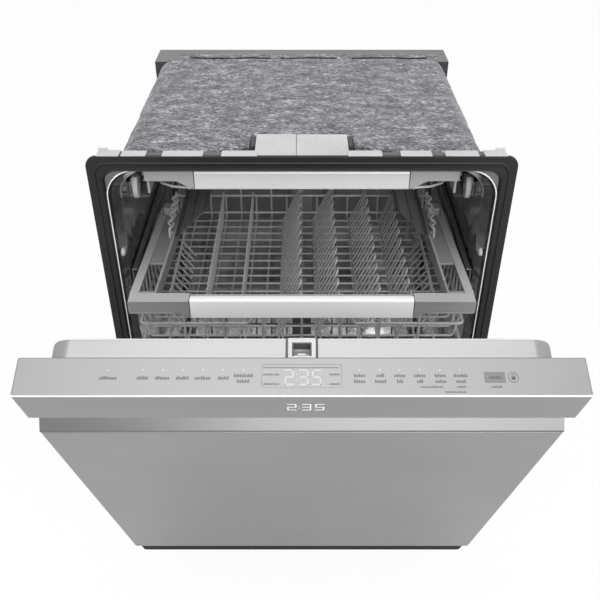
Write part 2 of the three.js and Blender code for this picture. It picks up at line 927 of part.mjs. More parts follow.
// Black frame: a flat band with a return around the flange's edge and two raised sealing lips.
function gasketFrame() {
  const tuck = flangeTuck - gap;
  const outerLipInner = outerLipOffset + lipWidth;
  const band = ring(0, bandWidth, bandInnerCorner, 0, bandThickness);
  const edge = ring(0, tuck, flangeCorner - tuck, bandThickness / 2, bandReturn);
  const innerLip = ring(bandWidth - lipWidth, bandWidth, bandInnerCorner, -lipRise, bandThickness / 2);
  const outerLip = ring(outerLipOffset, outerLipInner, flangeCorner, -outerLipRise, bandThickness / 2);
  return join([band, edge, innerLip, outerLip]);
}

// Felt blanket: it wraps the tub's top, sides and back, and leaves a notch at the front of its top.
function blanketSections(half, top, corner, low, rear, round) {
  const outline = (draw) => roundedOutline(half - draw, low, top - draw, blanketLowCorner, corner);
  const rounding = round * (1 - Math.SQRT1_2);
  return [
    { outline: outline(0), y: 0 },
    { outline: outline(0), y: rear - round },
    { outline: outline(rounding), y: rear - rounding },
    { outline: outline(round), y: rear },
  ];
}

function feltBlanket() {
  const outer = loftAlongY(blanketSections(blanketHalf, blanketTop, blanketCorner,
    blanketBottom, blanketRear, blanketRearRound));
  const wall = tubSheet + gap;
  const inner = loftAlongY(blanketSections(tubHalf + wall, tubTop + wall, tubCorner + wall,
    blanketBottom - overrun, tubDepth + wall, tubRearRound));
  const flapRun = blanketFlapRear - blanketFront;
  const edge = [
    [blanketHalf + overrun, 0],
    ...flapShares.map(([across, back]) => [blanketNotchHalf * across, flapRun * back]),
    [blanketNotchHalf, blanketNotchRear - blanketFront],
  ];
  const right = edge.map(([x, y]) => [x, blanketFront + y]);
  const left = edge.map(([x, y]) => [-x, blanketFront + y]).reverse();
  const cut = profileAlongZ([
    [-blanketHalf - overrun, -overrun],
    [blanketHalf + overrun, -overrun],
    ...right,
    ...left,
  ], blanketBottom - overrun, blanketTop + overrun);
  return outer.subtract(inner).subtract(cut);
}

function blankPlate() {
  const wall = tubSheet + gap;
  return centred(plateHalf, plateFront, plateRear, tubTop + wall, plateTop);
}

// Front bracket: a pale plastic strip behind the flange, level with its top, with a mounting tab.
function frontBracket(side) {
  const place = (from, to, front, rear, low, high) =>
    block(Math.min(side * from, side * to), Math.max(side * from, side * to), front, rear, low, high);
  const low = flangeTop - bracketRunThickness;
  const run = place(bracketRunInner, bracketRunOuter, bracketRunFront, bracketRunRear, low, flangeTop);
  const web = place(bracketRunInner, bracketRunOuter, bracketRunRear - bracketWebThickness,
    bracketRunRear, openingTop + overrun, flangeTop);
  const tab = place(bracketRunOuter - mountTabWidth, bracketRunOuter, mountTabForward,
    mountTabForward + mountTabThickness, low, mountTabTop);
  const opening = place(bracketRunInner + windowOffset, bracketRunInner + windowOffset + windowWidth,
    bracketRunFront - overrun, bracketRunRear - bracketWebThickness, low - overrun, flangeTop + overrun);
  const slots = slotSteps.map((step) => {
    const at = bracketRunInner + step * windowOffset + windowWidth;
    return place(at, at + slotWidth, bracketRunFront - overrun, bracketRunRear - bracketWebThickness,
      low - overrun, flangeTop + overrun);
  });
  return slots.reduce((body, slot) => body.subtract(slot), join([run, web, tab]).subtract(opening));
}

// Rear frame: a channel bent as an upside-down U, open to the back.
function rearFrame() {
  const half = rearFrameHalf;
  const arch = (wall, low) => [
    [-half + wall, low],
    [-half + rearPostWidth - wall, low],
    [-half + rearPostWidth - wall, rearFrameTop - rearBeamHeight + wall],
    [half - rearPostWidth + wall, rearFrameTop - rearBeamHeight + wall],
    [half - rearPostWidth + wall, low],
    [half - wall, low],
    [half - wall, rearFrameTop - wall],
    [-half + wall, rearFrameTop - wall],
  ];
  const outer = profileAlongY(arch(0, rearFrameBottom), rearFrameFront, rearFrameRear);
  const inner = profileAlongY(arch(tubeWall, rearFrameBottom - overrun), rearFrameFront + tubeWall,
    rearFrameRear + overrun);
  return outer.subtract(inner);
}

const footPlaces = [
  ['front_left', -baseHalf + footInset, baseFront + footInset],
  ['front_right', baseHalf - footInset, baseFront + footInset],
  ['rear_left', -baseHalf + footInset, baseRear - footInset],
  ['rear_right', baseHalf - footInset, baseRear - footInset],
];

function basePan() {
  const tray = centred(baseHalf, baseFront, baseRear, baseBottom, tubBottom - gap);
  const hollow = centred(baseHalf - baseWall, baseFront + baseWall, baseRear - baseWall,
    baseBottom + baseWall, tubBottom + overrun);
  const flareShare = Math.min((baseFront - tubFlangeSetBack) / tubFlareDepth, 1);
  const flareLow = openingBottom - tubSheet + tubFlareBottom * flareShare;
  const flareRoom = centred(baseHalf + overrun, baseFront - overrun, baseFront + baseWall,
    flareLow - gap, tubBottom + overrun);
  let pan = tray.subtract(hollow).subtract(flareRoom);
  for (const [, x, y] of footPlaces) {
    pan = pan.subtract(drum(footStudRadius + gap, baseBottom, smallDrumSides, 'z', x, y, baseBottom));
  }
  return pan;
}

function toePanel() {
  const front = baseFront - gap - toeDepth;
  const pan = centred(toeHalf, front, baseFront - gap, toeBottom, toeTop);
  const hollow = centred(toeHalf - toeSkin, front + toeSkin, baseFront + overrun,
    toeBottom + toeSkin, toeTop - toeSkin);
  return pan.subtract(hollow);
}

function levellingFoot() {
  return turned([
    [0, 0],
    [footPadRadius, 0],
    [footPadRadius, footPadHeight / 2],
    [footStudRadius, footPadHeight],
    [footStudRadius, footStudTop],
    [0, footStudTop],
  ], smallDrumSides, 0, 0);
}

// Hinge bracket: a plate from the base to the hinge axis, with the pin that the arm turns on.
function hingeBracket(side) {
  const inner = armOuter + gap;
  const outer = inner + bracketThickness;
  const left = Math.min(side * inner, side * outer);
  const right = Math.max(side * inner, side * outer);
  const top = flangeBottom - gap;
  const rear = baseFront + bracketReach;
  const noseHeight = hingeHeight - bracketNoseDrop;
  const noseRear = -hingeForward + bracketNoseRadius;
  const plate = profileAlongX([
    [-hingeForward, bracketLow + bracketNoseRise],
    [baseFront, bracketLow],
    [rear, bracketLow],
    [rear, top],
    [noseRear, top],
    [noseRear, noseHeight],
    [-hingeForward, noseHeight],
  ], left, right);
  const middle = (left + right) / 2;
  const nose = drum(bracketNoseRadius, bracketThickness, smallDrumSides, 'x',
    middle, -hingeForward, noseHeight);
  const pinLength = armThickness + bracketThickness + 2 * gap;
  const pinMiddle = side * (outer - pinLength / 2);
  const pin = drum(pinRadius, pinLength, smallDrumSides, 'x', pinMiddle, -hingeForward, hingeHeight);
  return join([plate, nose, pin]);
}

// Door spring: the coil's outer shape with a hook at each end, along the base's side.
function doorSpring(side) {
  const x = side * (baseHalf - springInset);
  const front = baseFront + baseWall + gap;
  const middle = front + springHookLength + springLength / 2;
  const coil = drum(springRadius, springLength, smallDrumSides, 'y', x, middle, springHeight);
  const hook = drum(springHookRadius, springLength + 2 * springHookLength, smallDrumSides, 'y',
    x, middle, springHeight);
  return coil.add(hook);
}

addPiece(cabinet, 'tub_shell', tubShell(), tubSteel());
addPiece(cabinet, 'gasket_frame', gasketFrame(), blackRubber());
addPiece(cabinet, 'felt_blanket', feltBlanket(), greyFelt());
addPiece(cabinet, 'blank_plate', blankPlate(), palePlastic());
addPiece(cabinet, 'rear_frame', rearFrame(), darkSteel());
addPiece(cabinet, 'base_pan', basePan(), darkPlastic());
addPiece(cabinet, 'toe_panel', toePanel(), darkPlastic());
for (const [name, x, y] of footPlaces) {
  addPiece(cabinet, `foot_${name}`, levellingFoot(), darkSteel()).position.set(x, y, 0);
}
for (const [name, side] of sides) {
  addPiece(cabinet, `front_bracket_${name}`, frontBracket(side), palePlastic());
  addPiece(cabinet, `hinge_bracket_${name}`, hingeBracket(side), darkSteel());
  addPiece(cabinet, `door_spring_${name}`, doorSpring(side), darkSteel());
}

// Sump: a bowl under the tub's floor with the post that carries the lower spray arm.
function sump() {
  const rim = tubBottom - gap;
  const outer = sumpInner + sumpWall;
  const bowl = turned([
    [0, sumpBottom],
    [outer, sumpBottom],
    [outer, rim - sumpWall],
    [sumpFlange, rim - sumpWall],
    [sumpFlange, rim],
    [sumpInner, rim],
    [sumpInner, sumpFloor],
    [0, sumpFloor],
  ], drumSides, 0, sumpCentre);
  const post = drum(postRadius, postTop - sumpBottom, smallDrumSides, 'z', 0, sumpCentre,
    (postTop + sumpBottom) / 2);
  return bowl.add(post);
}

const filterY = sumpCentre - filterForward;

function filterPlate() {
  const middle = tubFloor - filterPlateThickness / 2;
  const height = filterPlateThickness;
  const plate = drum(sumpHoleRadius - filterClearance, height, drumSides, 'z', 0, sumpCentre, middle);
  const postHole = drum(postRadius + filterClearance, height + overrun, smallDrumSides, 'z',
    0, sumpCentre, middle);
  const filterHole = drum(filterRadius + filterClearance, height + overrun, smallDrumSides, 'z',
    filterX, filterY, middle);
  return plate.subtract(postHole).subtract(filterHole);
}

function filterCup() {
  return turned([
    [0, sumpFloor + gap],
    [filterRadius, sumpFloor + gap],
    [filterRadius, filterTop],
    [filterRadius - filterWall, filterTop],
    [filterRadius - filterWall, sumpFloor + gap + filterWall],
    [0, sumpFloor + gap + filterWall],
  ], smallDrumSides, filterX, filterY);
}

// Feed duct: along the floor from the sump, up the rear wall and under the ceiling to the top arm.
function feedDuct() {
  const rear = ductFront + ductThickness;
  const bend = tubDepth - tubRearRound;
  const floor = tubFloor + gap;
  const ceiling = tubTop - gap;
  const start = sumpCentre + sumpFlange;
  const run = profileAlongX([
    [start, floor],
    [bend, floor],
    [rear, tubFloor + tubRearRound],
    [rear, tubTop - tubRearRound],
    [bend, ceiling],
    [sumpCentre, ceiling],
    [sumpCentre, ceiling - ductCeilingHeight],
    [ductFront, ceiling - ductCeilingHeight],
    [ductFront, floor + ductFloorHeight],
    [start, floor + ductFloorHeight],
  ], -ductHalf, ductHalf);
  const hub = drum(ductHubRadius, ductCeilingHeight, smallDrumSides, 'z', 0, sumpCentre,
    ceiling - ductCeilingHeight / 2);
  const port = drum(ductPortRadius, ductPortLength + overrun, smallDrumSides, 'y', 0,
    ductFront + (overrun - ductPortLength) / 2, feedTubeHeight);
  return join([run, hub, port]);
}

// Spray arm: two tapered blades on a round hub, laid out about its own spin axis.
function sprayArm(reach, bladeHeight, hubHeight) {
  const blade = profileAlongZ([
    [-reach, -armTipWidth / 2],
    [0, -armBladeWidth / 2],
    [reach, -armTipWidth / 2],
    [reach, armTipWidth / 2],
    [0, armBladeWidth / 2],
    [-reach, armTipWidth / 2],
  ], 0, bladeHeight);
  return blade.add(drum(armHubRadius, hubHeight, smallDrumSides, 'z', 0, 0, hubHeight / 2));
}

function washMotor() {
  const rear = sumpCentre - sumpInner - sumpWall - gap;
  const middle = rear - motorLength / 2;
  const body = drum(motorRadius, motorLength, drumSides, 'y', 0, middle, motorHeight);
  const cap = drum(motorCapRadius, motorCapLength + overrun, smallDrumSides, 'y', 0,
    rear - motorLength - (motorCapLength - overrun) / 2, motorHeight);
  return body.add(cap);
}

function drainPump() {
  const inner = sumpInner + sumpWall + gap;
  return drum(pumpRadius, pumpLength, smallDrumSides, 'x', -inner - pumpLength / 2, sumpCentre, pumpHeight);
}

function inletValve() {
  const low = baseBottom + baseWall + gap;
  const body = block(valveX, valveX + valveWidth, valveFront, valveFront + valveDepth, low, low + valveHeight);
  const stub = drum(valveStubRadius, valveStubLength + overrun, smallDrumSides, 'x',
    valveX - (valveStubLength - overrun) / 2, valveFront + valveDepth / 2, low + valveHeight / 2);
  return body.add(stub);
}

const ceilingLow = tubTop - gap - ductCeilingHeight;
addPiece(cabinet, 'sump', sump(), darkPlastic());
addPiece(cabinet, 'filter_plate', filterPlate(), tubSteel());
addPiece(cabinet, 'filter_cup', filterCup(), greyPlastic());
addPiece(cabinet, 'feed_duct', feedDuct(), greyPlastic());
addPiece(cabinet, 'wash_motor', washMotor(), darkPlastic());
addPiece(cabinet, 'drain_pump', drainPump(), darkPlastic());
addPiece(cabinet, 'inlet_valve', inletValve(), palePlastic());
addPiece(cabinet, 'lower_spray_arm', sprayArm(lowerArmReach, armBladeHeight, armHubHeight), greyPlastic())
  .position.set(0, sumpCentre, postTop + gap);
addPiece(cabinet, 'upper_spray_arm', sprayArm(upperArmReach, upperArmHeight, upperArmHeight), greyPlastic())
  .position.set(0, sumpCentre, ceilingLow - gap - upperArmHeight);

// Rails: one block along each wall; the third rack's rail ends in a rounded stop.
function thirdRail(side) {
  const outer = tubHalf - gap;
  const inner = outer - thirdRailDepth;
  const span = [side * inner, side * outer];
  const rail = block(Math.min(...span), Math.max(...span), thirdRailFront, railRear,
    thirdRailTop - thirdRailHeight, thirdRailTop);
  const stopInner = side * inner;
  const stopOuter = side * (inner + railCapWidth);
  const stop = profileAlongX([
    [thirdRailFront, railCapTop],
    [thirdRailFront - railCapLength, railCapTop],
    [thirdRailFront - railCapLength, thirdRailTop - thirdRailHeight / 2],
    [thirdRailFront - railCapLength / 2, railCapBottom],
    [thirdRailFront, railCapBottom],
    [thirdRailFront + railCapLength / 2, thirdRailTop - thirdRailHeight / 2],
    [thirdRailFront + railCapLength / 2, railCapTop],
  ], Math.min(stopInner, stopOuter), Math.max(stopInner, stopOuter));
  return rail.add(stop);
}

function middleRail(side) {
  const span = [side * (tubHalf - gap), side * (tubHalf - gap - middleRailDepth)];
  return block(Math.min(...span), Math.max(...span), middleRailFront, railRear,
    middleRailTop - middleRailHeight, middleRailTop);
}

for (const [name, side] of sides) {
  addPiece(cabinet, `third_rail_${name}`, thirdRail(side), palePlastic());
  addPiece(cabinet, `middle_rail_${name}`, middleRail(side), brightSteel());
}

// Handle bar: one drawn bar with eased edges.
function handleBar(front, top, height) {
  const rear = front + barThickness;
  const low = top - height;
  return profileAlongX([
    [front, low + barEdge],
    [front, top - barEdge],
    [front + barEdge, top],
    [rear, top],
    [rear, low],
    [front + barEdge, low],
  ], -barHalf, barHalf);
}

// Front of a rack: a beam behind the bar, and an end on each side whose lower edge sweeps down to it.
function rackFront(half, front, top, endHeight, depth, barDrop) {
  const inner = barHalf + gap;
  const sweep = barDrop - endHeight;
  const beam = centred(inner + gap, front + barThickness + gap, front + depth,
    top - barDrop + sweep / 2, top - barEdge);
  const ends = sides.map(([, side]) => {
    const outline = [
      [inner, top],
      [half, top],
      [half, top - endHeight],
      ...sweepShares.map(([across, down]) => [inner + sweep * across, top - endHeight - sweep * down]),
      [inner, top - barDrop],
    ];
    return profileAlongY(outline.map(([x, z]) => [side * x, z]), front + overrun, front + depth);
  });
  return join([beam, ...ends]);
}

// Third rack's frame: the front, and a wall along each side and the back, with a runner on each side wall.
function thirdFrame() {
  const low = thirdRim - thirdRunnerHeight;
  const inner = thirdHalf - thirdWall;
  const runnerFront = thirdRailFront + railCapLength;
  const pieces = [
    rackFront(thirdHalf, thirdFront, thirdTop, thirdEndHeight, thirdFrameDepth, thirdBarHeight),
    centred(inner + overrun, thirdTrayRear - thirdWall, thirdTrayRear, low, thirdRim),
  ];
  for (const [, side] of sides) {
    const place = (outer, front, rear, top) =>
      block(Math.min(side * inner, side * outer), Math.max(side * inner, side * outer), front, rear, low, top);
    pieces.push(place(thirdHalf, thirdFront + thirdFrameDepth - overrun, runnerFront, thirdTop - barEdge));
    pieces.push(place(tubHalf - thirdRailDepth - 2 * gap, runnerFront - overrun, thirdTrayRear, thirdRim));
  }
  return join(pieces);
}

// Third rack's tray: a flat floor of wires inside a wire hoop, between the frame's walls.
function thirdTray() {
  const half = thirdHalf - thirdWall - gap - wireHalf;
  const front = thirdFront + thirdFrameDepth + gap + wireHalf;
  const rear = thirdTrayRear - thirdWall - gap - wireHalf;
  const pieces = sides.map(([, side]) => wire([
    [-side * overrun, rear, thirdFloor],
    [side * half, rear, thirdFloor],
    [side * half, front, thirdFloor],
    [-side * overrun, front, thirdFloor],
  ], wireRadius, wireCorner));
  for (const y of spread(front, rear, thirdCrossWires + 2).slice(1, -1)) {
    pieces.push(wire([[-half, y, thirdFloor], [half, y, thirdFloor]], tineRadius));
  }
  for (const x of spread(-half, half, thirdLongWires + 2).slice(1, -1)) {
    pieces.push(wire([[x, front, thirdFloor], [x, rear, thirdFloor]], tineRadius));
  }
  return join(pieces);
}

addPiece(cabinet, 'third_handle_bar', handleBar(thirdFront, thirdTop, thirdBarHeight), silverBar());
addPiece(cabinet, 'third_front', thirdFrame(), greyPlastic());
addPiece(cabinet, 'third_tray', thirdTray(), coatedWire());

const sideRailFront = middleFront + middleFrameDepth - overrun;
const sideRailTop = middleTop - middleRailDrop;

function sideRailUnderside(y) {
  const share = (y - sideRailFront) / (sideRailRear - sideRailFront);
  return THREE.MathUtils.lerp(middleTop - middleEndHeight, sideRailTop - sideRailHeight, share);
}

// Middle rack's frame: the front, and a channel along each side that drops a little to the back.
function middleFrame() {
  const front = rackFront(middleHalf, middleFront, middleTop, middleEndHeight, middleFrameDepth,
    barHeight - barRise);
  const pieces = [front];
  for (const [, side] of sides) {
    const outer = side * middleHalf;
    const inner = side * (middleHalf - sideRailWidth);
    const rail = profileAlongX([
      [sideRailFront, middleTop],
      [sideRailRear - adjusterLength, sideRailTop],
      [sideRailRear - adjusterLength, sideRailTop + adjusterRise],
      [sideRailRear, sideRailTop + adjusterRise],
      [sideRailRear, sideRailUnderside(sideRailRear)],
      [sideRailFront, sideRailUnderside(sideRailFront)],
    ], Math.min(outer, inner), Math.max(outer, inner));
    const wellOuter = side * (middleHalf - 2 * sideRailWall);
    const wellInner = side * (middleHalf - sideRailWidth + sideRailWall);
    const well = block(Math.min(wellOuter, wellInner), Math.max(wellOuter, wellInner),
      sideRailFront + 2 * sideRailWall, sideRailRear - adjusterLength - sideRailWidth,
      sideRailTop - 2 * sideRailHeight, middleTop + overrun);
    const runnerSpan = [side * (middleHalf - overrun), side * (tubHalf - middleRailDepth - 2 * gap)];
    const runnerTop = middleRailTop - (middleRailHeight - middleRunnerHeight) / 2;
    const runner = block(Math.min(...runnerSpan), Math.max(...runnerSpan), 0, sideRailRear,
      runnerTop - middleRunnerHeight, runnerTop);
    pieces.push(rail.subtract(well).add(runner));
  }
  return join(pieces);
}

const middleCrossPlaces = spread(middleBasketFront, middleBasketRear, middleCrossWires + 2).slice(1, -1);

// Middle rack's basket: floor wires both ways and two hoops, hooked to the frame's beam and side rails.
function middleBasket() {
  const half = middleHalf - wireRadius - basketInset;
  const floorHalf = half - middleFloorInset;
  const pieces = [];
  const hoop = (z, side, jog) => wire([
    [-side * overrun, middleBasketRear, z],
    [side * half, middleBasketRear, z],
    [side * half, middleBasketFront, z],
    [side * jogOuterHalf, middleBasketFront, z],
    [side * jogInnerHalf, middleBasketFront, z + jog],
    [-side * overrun, middleBasketFront, z + jog],
  ], wireRadius, wireCorner);
  for (const [, side] of sides) {
    pieces.push(hoop(middleMidHoop, side, jogRise));
    pieces.push(hoop(middleLowHoop, side, 0));
  }
  for (const x of spread(-middleLongHalf, middleLongHalf, middleLongWires)) {
    pieces.push(wire([
      [x, middleFront + middleFrameDepth + gap, middleHookTop],
      [x, middleBasketFront, middleHookTop],
      [x, middleBasketFront, middleFloor],
      [x, middleBasketRear, middleFloor],
      [x, middleBasketRear, middleHookTop],
    ], tineRadius, wireCorner));
  }
  for (const y of middleCrossPlaces) {
    const hooks = y < sideRailRear ? [sideRailUnderside(y + tineHalf) - gap] : [];
    pieces.push(wire([
      ...hooks.map((z) => [-half, y, z]),
      [-half, y, middleMidHoop],
      [-floorHalf, y, middleFloor],
      [floorHalf, y, middleFloor],
      [half, y, middleMidHoop],
      ...hooks.map((z) => [half, y, z]),
    ], tineRadius, wireCorner));
  }
  return join(pieces);
}

// Feed tube: from the rear of the middle rack to its spray arm, clipped to the floor's cross wires.
function middleFeedTube() {
  const length = feedTubeRear - middleArmCentre;
  const pieces = [
    drum(feedTubeRadius, length, smallDrumSides, 'y', 0, middleArmCentre + length / 2, feedTubeHeight),
    drum(feedMouthRadius, feedMouthLength, smallDrumSides, 'y', 0, feedTubeRear - feedMouthLength / 2,
      feedTubeHeight),
    drum(feedMouthRadius, feedStemHeight, smallDrumSides, 'z', 0, middleArmCentre, feedTubeHeight),
  ];
  for (const y of middleCrossPlaces.filter((place) => place > middleArmCentre)) {
    pieces.push(centred(feedClipWidth / 2, y - feedClipWidth / 2, y + feedClipWidth / 2,
      feedTubeHeight, middleFloor - tineHalf - gap));
  }
  return join(pieces);
}

// Cup shelf: a comb that folds about a rod along the side rail.
function cupShelf(side) {
  const start = shelfHingeRadius / 2;
  const pieces = [drum(shelfHingeRadius, shelfLength, smallDrumSides / 2, 'y', 0, shelfLength / 2, 0)];
  const reach = side * -shelfReach;
  const root = side * -start;
  const edge = side * (-shelfReach + shelfRibWidth);
  pieces.push(block(Math.min(reach, edge), Math.max(reach, edge), 0, shelfLength,
    -shelfThickness / 2, shelfThickness / 2));
  for (const y of spread(0, shelfLength - shelfRibWidth, shelfRibs)) {
    pieces.push(block(Math.min(root, reach), Math.max(root, reach), y, y + shelfRibWidth,
      -shelfThickness / 2, shelfThickness / 2));
  }
  return join(pieces);
}

addPiece(cabinet, 'middle_handle_bar', handleBar(middleFront, middleTop + barRise, barHeight), silverBar());
addPiece(cabinet, 'middle_frame', middleFrame(), greyPlastic());
addPiece(cabinet, 'middle_basket', middleBasket(), coatedWire());
addPiece(cabinet, 'middle_feed_tube', middleFeedTube(), greyPlastic());
const middleArmTop = feedTubeHeight - feedStemHeight / 2 - gap;
addPiece(cabinet, 'middle_spray_arm', sprayArm(middleArmReach, armBladeHeight, armHubHeight), greyPlastic())
  .position.set(0, middleArmCentre, middleArmTop - armHubHeight);
for (const [name, side] of sides) {
  const shelf = addPiece(cabinet, `cup_shelf_${name}`, cupShelf(side), darkPlastic());
  shelf.position.set(
    side * (middleHalf - sideRailWidth - gap - shelfHingeRadius),
    shelfFront,
    sideRailTop + shelfHingeRise);
  shelf.rotation.y = side * shelfTilt;
}

// Lower rack: floor wires both ways, a rim, a hoop half way up, and a bracket at each wheel.
function lowerBasket() {
  const half = lowerHalf - wireRadius;
  const floorHalf = half - lowerFloorInset;
  const pieces = [];
  const hoop = (z, draw, side) => wire([
    [-side * overrun, lowerRear - draw, z],
    [side * (half - draw), lowerRear - draw, z],
    [side * (half - draw), lowerFront + draw, z],
    [-side * overrun, lowerFront + draw, z],
  ], wireRadius, wireCorner);
  const share = (lowerMidHoop - lowerFloor) / (lowerRim - lowerFloor);
  const midDraw = lowerFloorInset * (1 - share);
  for (const [, side] of sides) {
    pieces.push(hoop(lowerRim, 0, side));
    pieces.push(hoop(lowerMidHoop, midDraw, side));
  }
  for (const x of spread(-floorHalf + lowerFloorInset, floorHalf - lowerFloorInset, lowerLongWires)) {
    pieces.push(wire([
      [x, lowerFront, lowerRim],
      [x, lowerFront + lowerFloorInset, lowerFloor],
      [x, lowerRear - lowerFloorInset, lowerFloor],
      [x, lowerRear, lowerRim],
    ], tineRadius, wireCorner));
  }
  const axles = [wheelFrontY, wheelRearY];
  const between = spread(wheelFrontY, wheelRearY, lowerCrossWires);
  for (const y of between) {
    pieces.push(wire([
      [-half, y, lowerRim],
      [-floorHalf, y, lowerFloor],
      [floorHalf, y, lowerFloor],
      [half, y, lowerRim],
    ], tineRadius, wireCorner));
  }
  for (const y of axles) {
    for (const [, side] of sides) {
      const inner = floorHalf - wheelBracketThickness;
      const span = [side * inner, side * (inner + wheelBracketThickness)];
      pieces.push(block(Math.min(...span), Math.max(...span), y - wheelBracketWidth / 2,
        y + wheelBracketWidth / 2, wheelHeight - axleRadius * 2, lowerFloor + wireCorner));
      const axleInner = inner + wheelBracketThickness / 2;
      const axleOuter = floorHalf + wheelWidth + 2 * gap;
      pieces.push(drum(axleRadius, axleOuter - axleInner, smallDrumSides / 2, 'x',
        side * (axleInner + axleOuter) / 2, y, wheelHeight));
    }
  }
  return join(pieces);
}

function wheel() {
  const tyre = drum(wheelRadius, wheelWidth, drumSides, 'x', 0, 0, 0);
  return tyre.subtract(drum(axleRadius + gap, wheelWidth + overrun, smallDrumSides / 2, 'x', 0, 0, 0));
}

// A row of tines on a rod that folds down sideways.
function foldingTines() {
  const pieces = [wire([[0, 0, 0], [0, tineRowRear - tineRowFront, 0]], tineRadius)];
  for (const y of spread(wireCorner, tineRowRear - tineRowFront - wireCorner, tineRowCount)) {
    pieces.push(wire([[0, y, 0], [0, y, tineHeight]], tineRadius));
  }
  return join(pieces);
}

addPiece(cabinet, 'lower_basket', lowerBasket(), coatedWire());
const wheelX = lowerHalf - wireRadius - lowerFloorInset + gap + wheelWidth / 2;
for (const [row, y] of [['front', wheelFrontY], ['rear', wheelRearY]]) {
  for (const [name, side] of sides) {
    addPiece(cabinet, `wheel_${row}_${name}`, wheel(), greyPlastic())
      .position.set(side * wheelX, y, wheelHeight);
  }
}
addPiece(cabinet, 'folding_tines', foldingTines(), coatedWire())
  .position.set(tineRowX, tineRowFront, lowerFloor + tineHalf + tineRadius + gap / 2);

// The origin is under the middle of the whole outline, on the floor.
const outline = new THREE.Box3().setFromObject(dishwasher);
cabinet.position.y = -(outline.min.y + outline.max.y) / 2;

export default dishwasher;
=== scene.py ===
# %% [markdown]
# # A built-in dishwasher with its door a quarter open
# The machine is a steel tub wrapped in grey felt, with a black sealing frame at its mouth, a brushed steel
# door and three wire racks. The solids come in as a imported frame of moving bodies. This lesson gives each
# of them its real surface: bent sheet, drawn wire, felt, moulded plastic and rubber.

import json
import math
import random

import bmesh
import bpy
from mathutils import Matrix, Vector, noise

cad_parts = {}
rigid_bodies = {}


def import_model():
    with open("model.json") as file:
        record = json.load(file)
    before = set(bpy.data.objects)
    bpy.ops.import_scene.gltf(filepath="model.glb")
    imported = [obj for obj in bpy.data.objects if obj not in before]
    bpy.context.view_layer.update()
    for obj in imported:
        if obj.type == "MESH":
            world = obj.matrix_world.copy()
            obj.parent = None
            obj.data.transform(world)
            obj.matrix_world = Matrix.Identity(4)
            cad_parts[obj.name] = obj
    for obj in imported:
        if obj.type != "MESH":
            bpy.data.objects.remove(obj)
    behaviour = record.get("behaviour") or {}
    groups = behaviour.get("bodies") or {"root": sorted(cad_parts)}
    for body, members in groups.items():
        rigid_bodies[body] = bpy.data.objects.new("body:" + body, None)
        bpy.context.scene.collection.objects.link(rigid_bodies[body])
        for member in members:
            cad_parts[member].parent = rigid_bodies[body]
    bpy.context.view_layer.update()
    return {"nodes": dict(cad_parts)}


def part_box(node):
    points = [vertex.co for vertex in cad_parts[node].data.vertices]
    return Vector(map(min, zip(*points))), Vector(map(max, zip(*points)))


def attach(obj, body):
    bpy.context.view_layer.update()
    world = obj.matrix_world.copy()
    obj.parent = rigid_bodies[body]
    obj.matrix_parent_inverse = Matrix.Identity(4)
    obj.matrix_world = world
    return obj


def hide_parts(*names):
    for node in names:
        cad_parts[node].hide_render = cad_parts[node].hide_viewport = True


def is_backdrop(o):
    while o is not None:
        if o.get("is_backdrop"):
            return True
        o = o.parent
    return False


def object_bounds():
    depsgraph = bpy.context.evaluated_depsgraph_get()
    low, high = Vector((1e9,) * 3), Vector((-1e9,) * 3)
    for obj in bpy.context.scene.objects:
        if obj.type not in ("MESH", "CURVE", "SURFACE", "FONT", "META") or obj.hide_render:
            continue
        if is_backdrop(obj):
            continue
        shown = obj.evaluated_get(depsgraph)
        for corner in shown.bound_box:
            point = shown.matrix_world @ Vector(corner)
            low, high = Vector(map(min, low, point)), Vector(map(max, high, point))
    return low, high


for leftover in list(bpy.data.objects):
    bpy.data.objects.remove(leftover)
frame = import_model()

# %% [markdown]
# The camera comes first, because it decides which parts of the machine are seen. The photograph looks down
# at 35.6 degrees from in front of the open door, with a lens of about 46 mm on a full-frame sensor. The
# small shift moves the picture a few pixels, as a crop does.

# %% The camera
PITCH, FILM_WIDTH, FOCAL_LENGTH = 35.62, 36, 46.2
camera = bpy.data.objects.new("camera", bpy.data.cameras.new("camera"))
bpy.context.scene.collection.objects.link(camera)
camera.location = (0, -1.05616, 1.30899)
camera.rotation_euler = (math.radians(90 - PITCH), 0, 0)
camera.data.sensor_width = FILM_WIDTH
camera.data.lens = FOCAL_LENGTH
camera.data.shift_x = -0.003
camera.data.shift_y = -0.0116
bpy.context.scene.camera = camera
print("the camera is", round(camera.location.length, 2), "m from the frame's origin on the floor")

# %% [markdown]
# The machine is shown on white. The world and the floor are plain white to the camera and in reflections,
# so that steel and glass mirror a white room. Other rays meet a softer world, a broad lamp above and a
# stronger one at the front. The floor also keeps a little of the machine's shadow.

# %% Light, world and floor
scene = bpy.context.scene
scene.view_settings.view_transform = "Standard"


def empty_paint(name):
    """A material whose tree has no nodes yet."""
    paint = bpy.data.materials.new(name)
    paint.use_nodes = True
    paint.node_tree.nodes.clear()
    return paint


def white_share(tree, seen, mirrored):
    """How white a surface shows itself: `seen` to the camera and through glass, `mirrored` in reflections."""
    path = tree.nodes.new("ShaderNodeLightPath")
    total = None
    for ray, part in (("Is Camera Ray", seen), ("Is Transmission Ray", seen), ("Is Glossy Ray", mirrored)):
        step = tree.nodes.new("ShaderNodeMath")
        step.operation = "MULTIPLY_ADD"
        step.inputs[1].default_value, step.inputs[2].default_value = part, 0.0
        tree.links.new(path.outputs[ray], step.inputs[0])
        if total:
            tree.links.new(total, step.inputs[2])
        total = step.outputs[0]
    return total


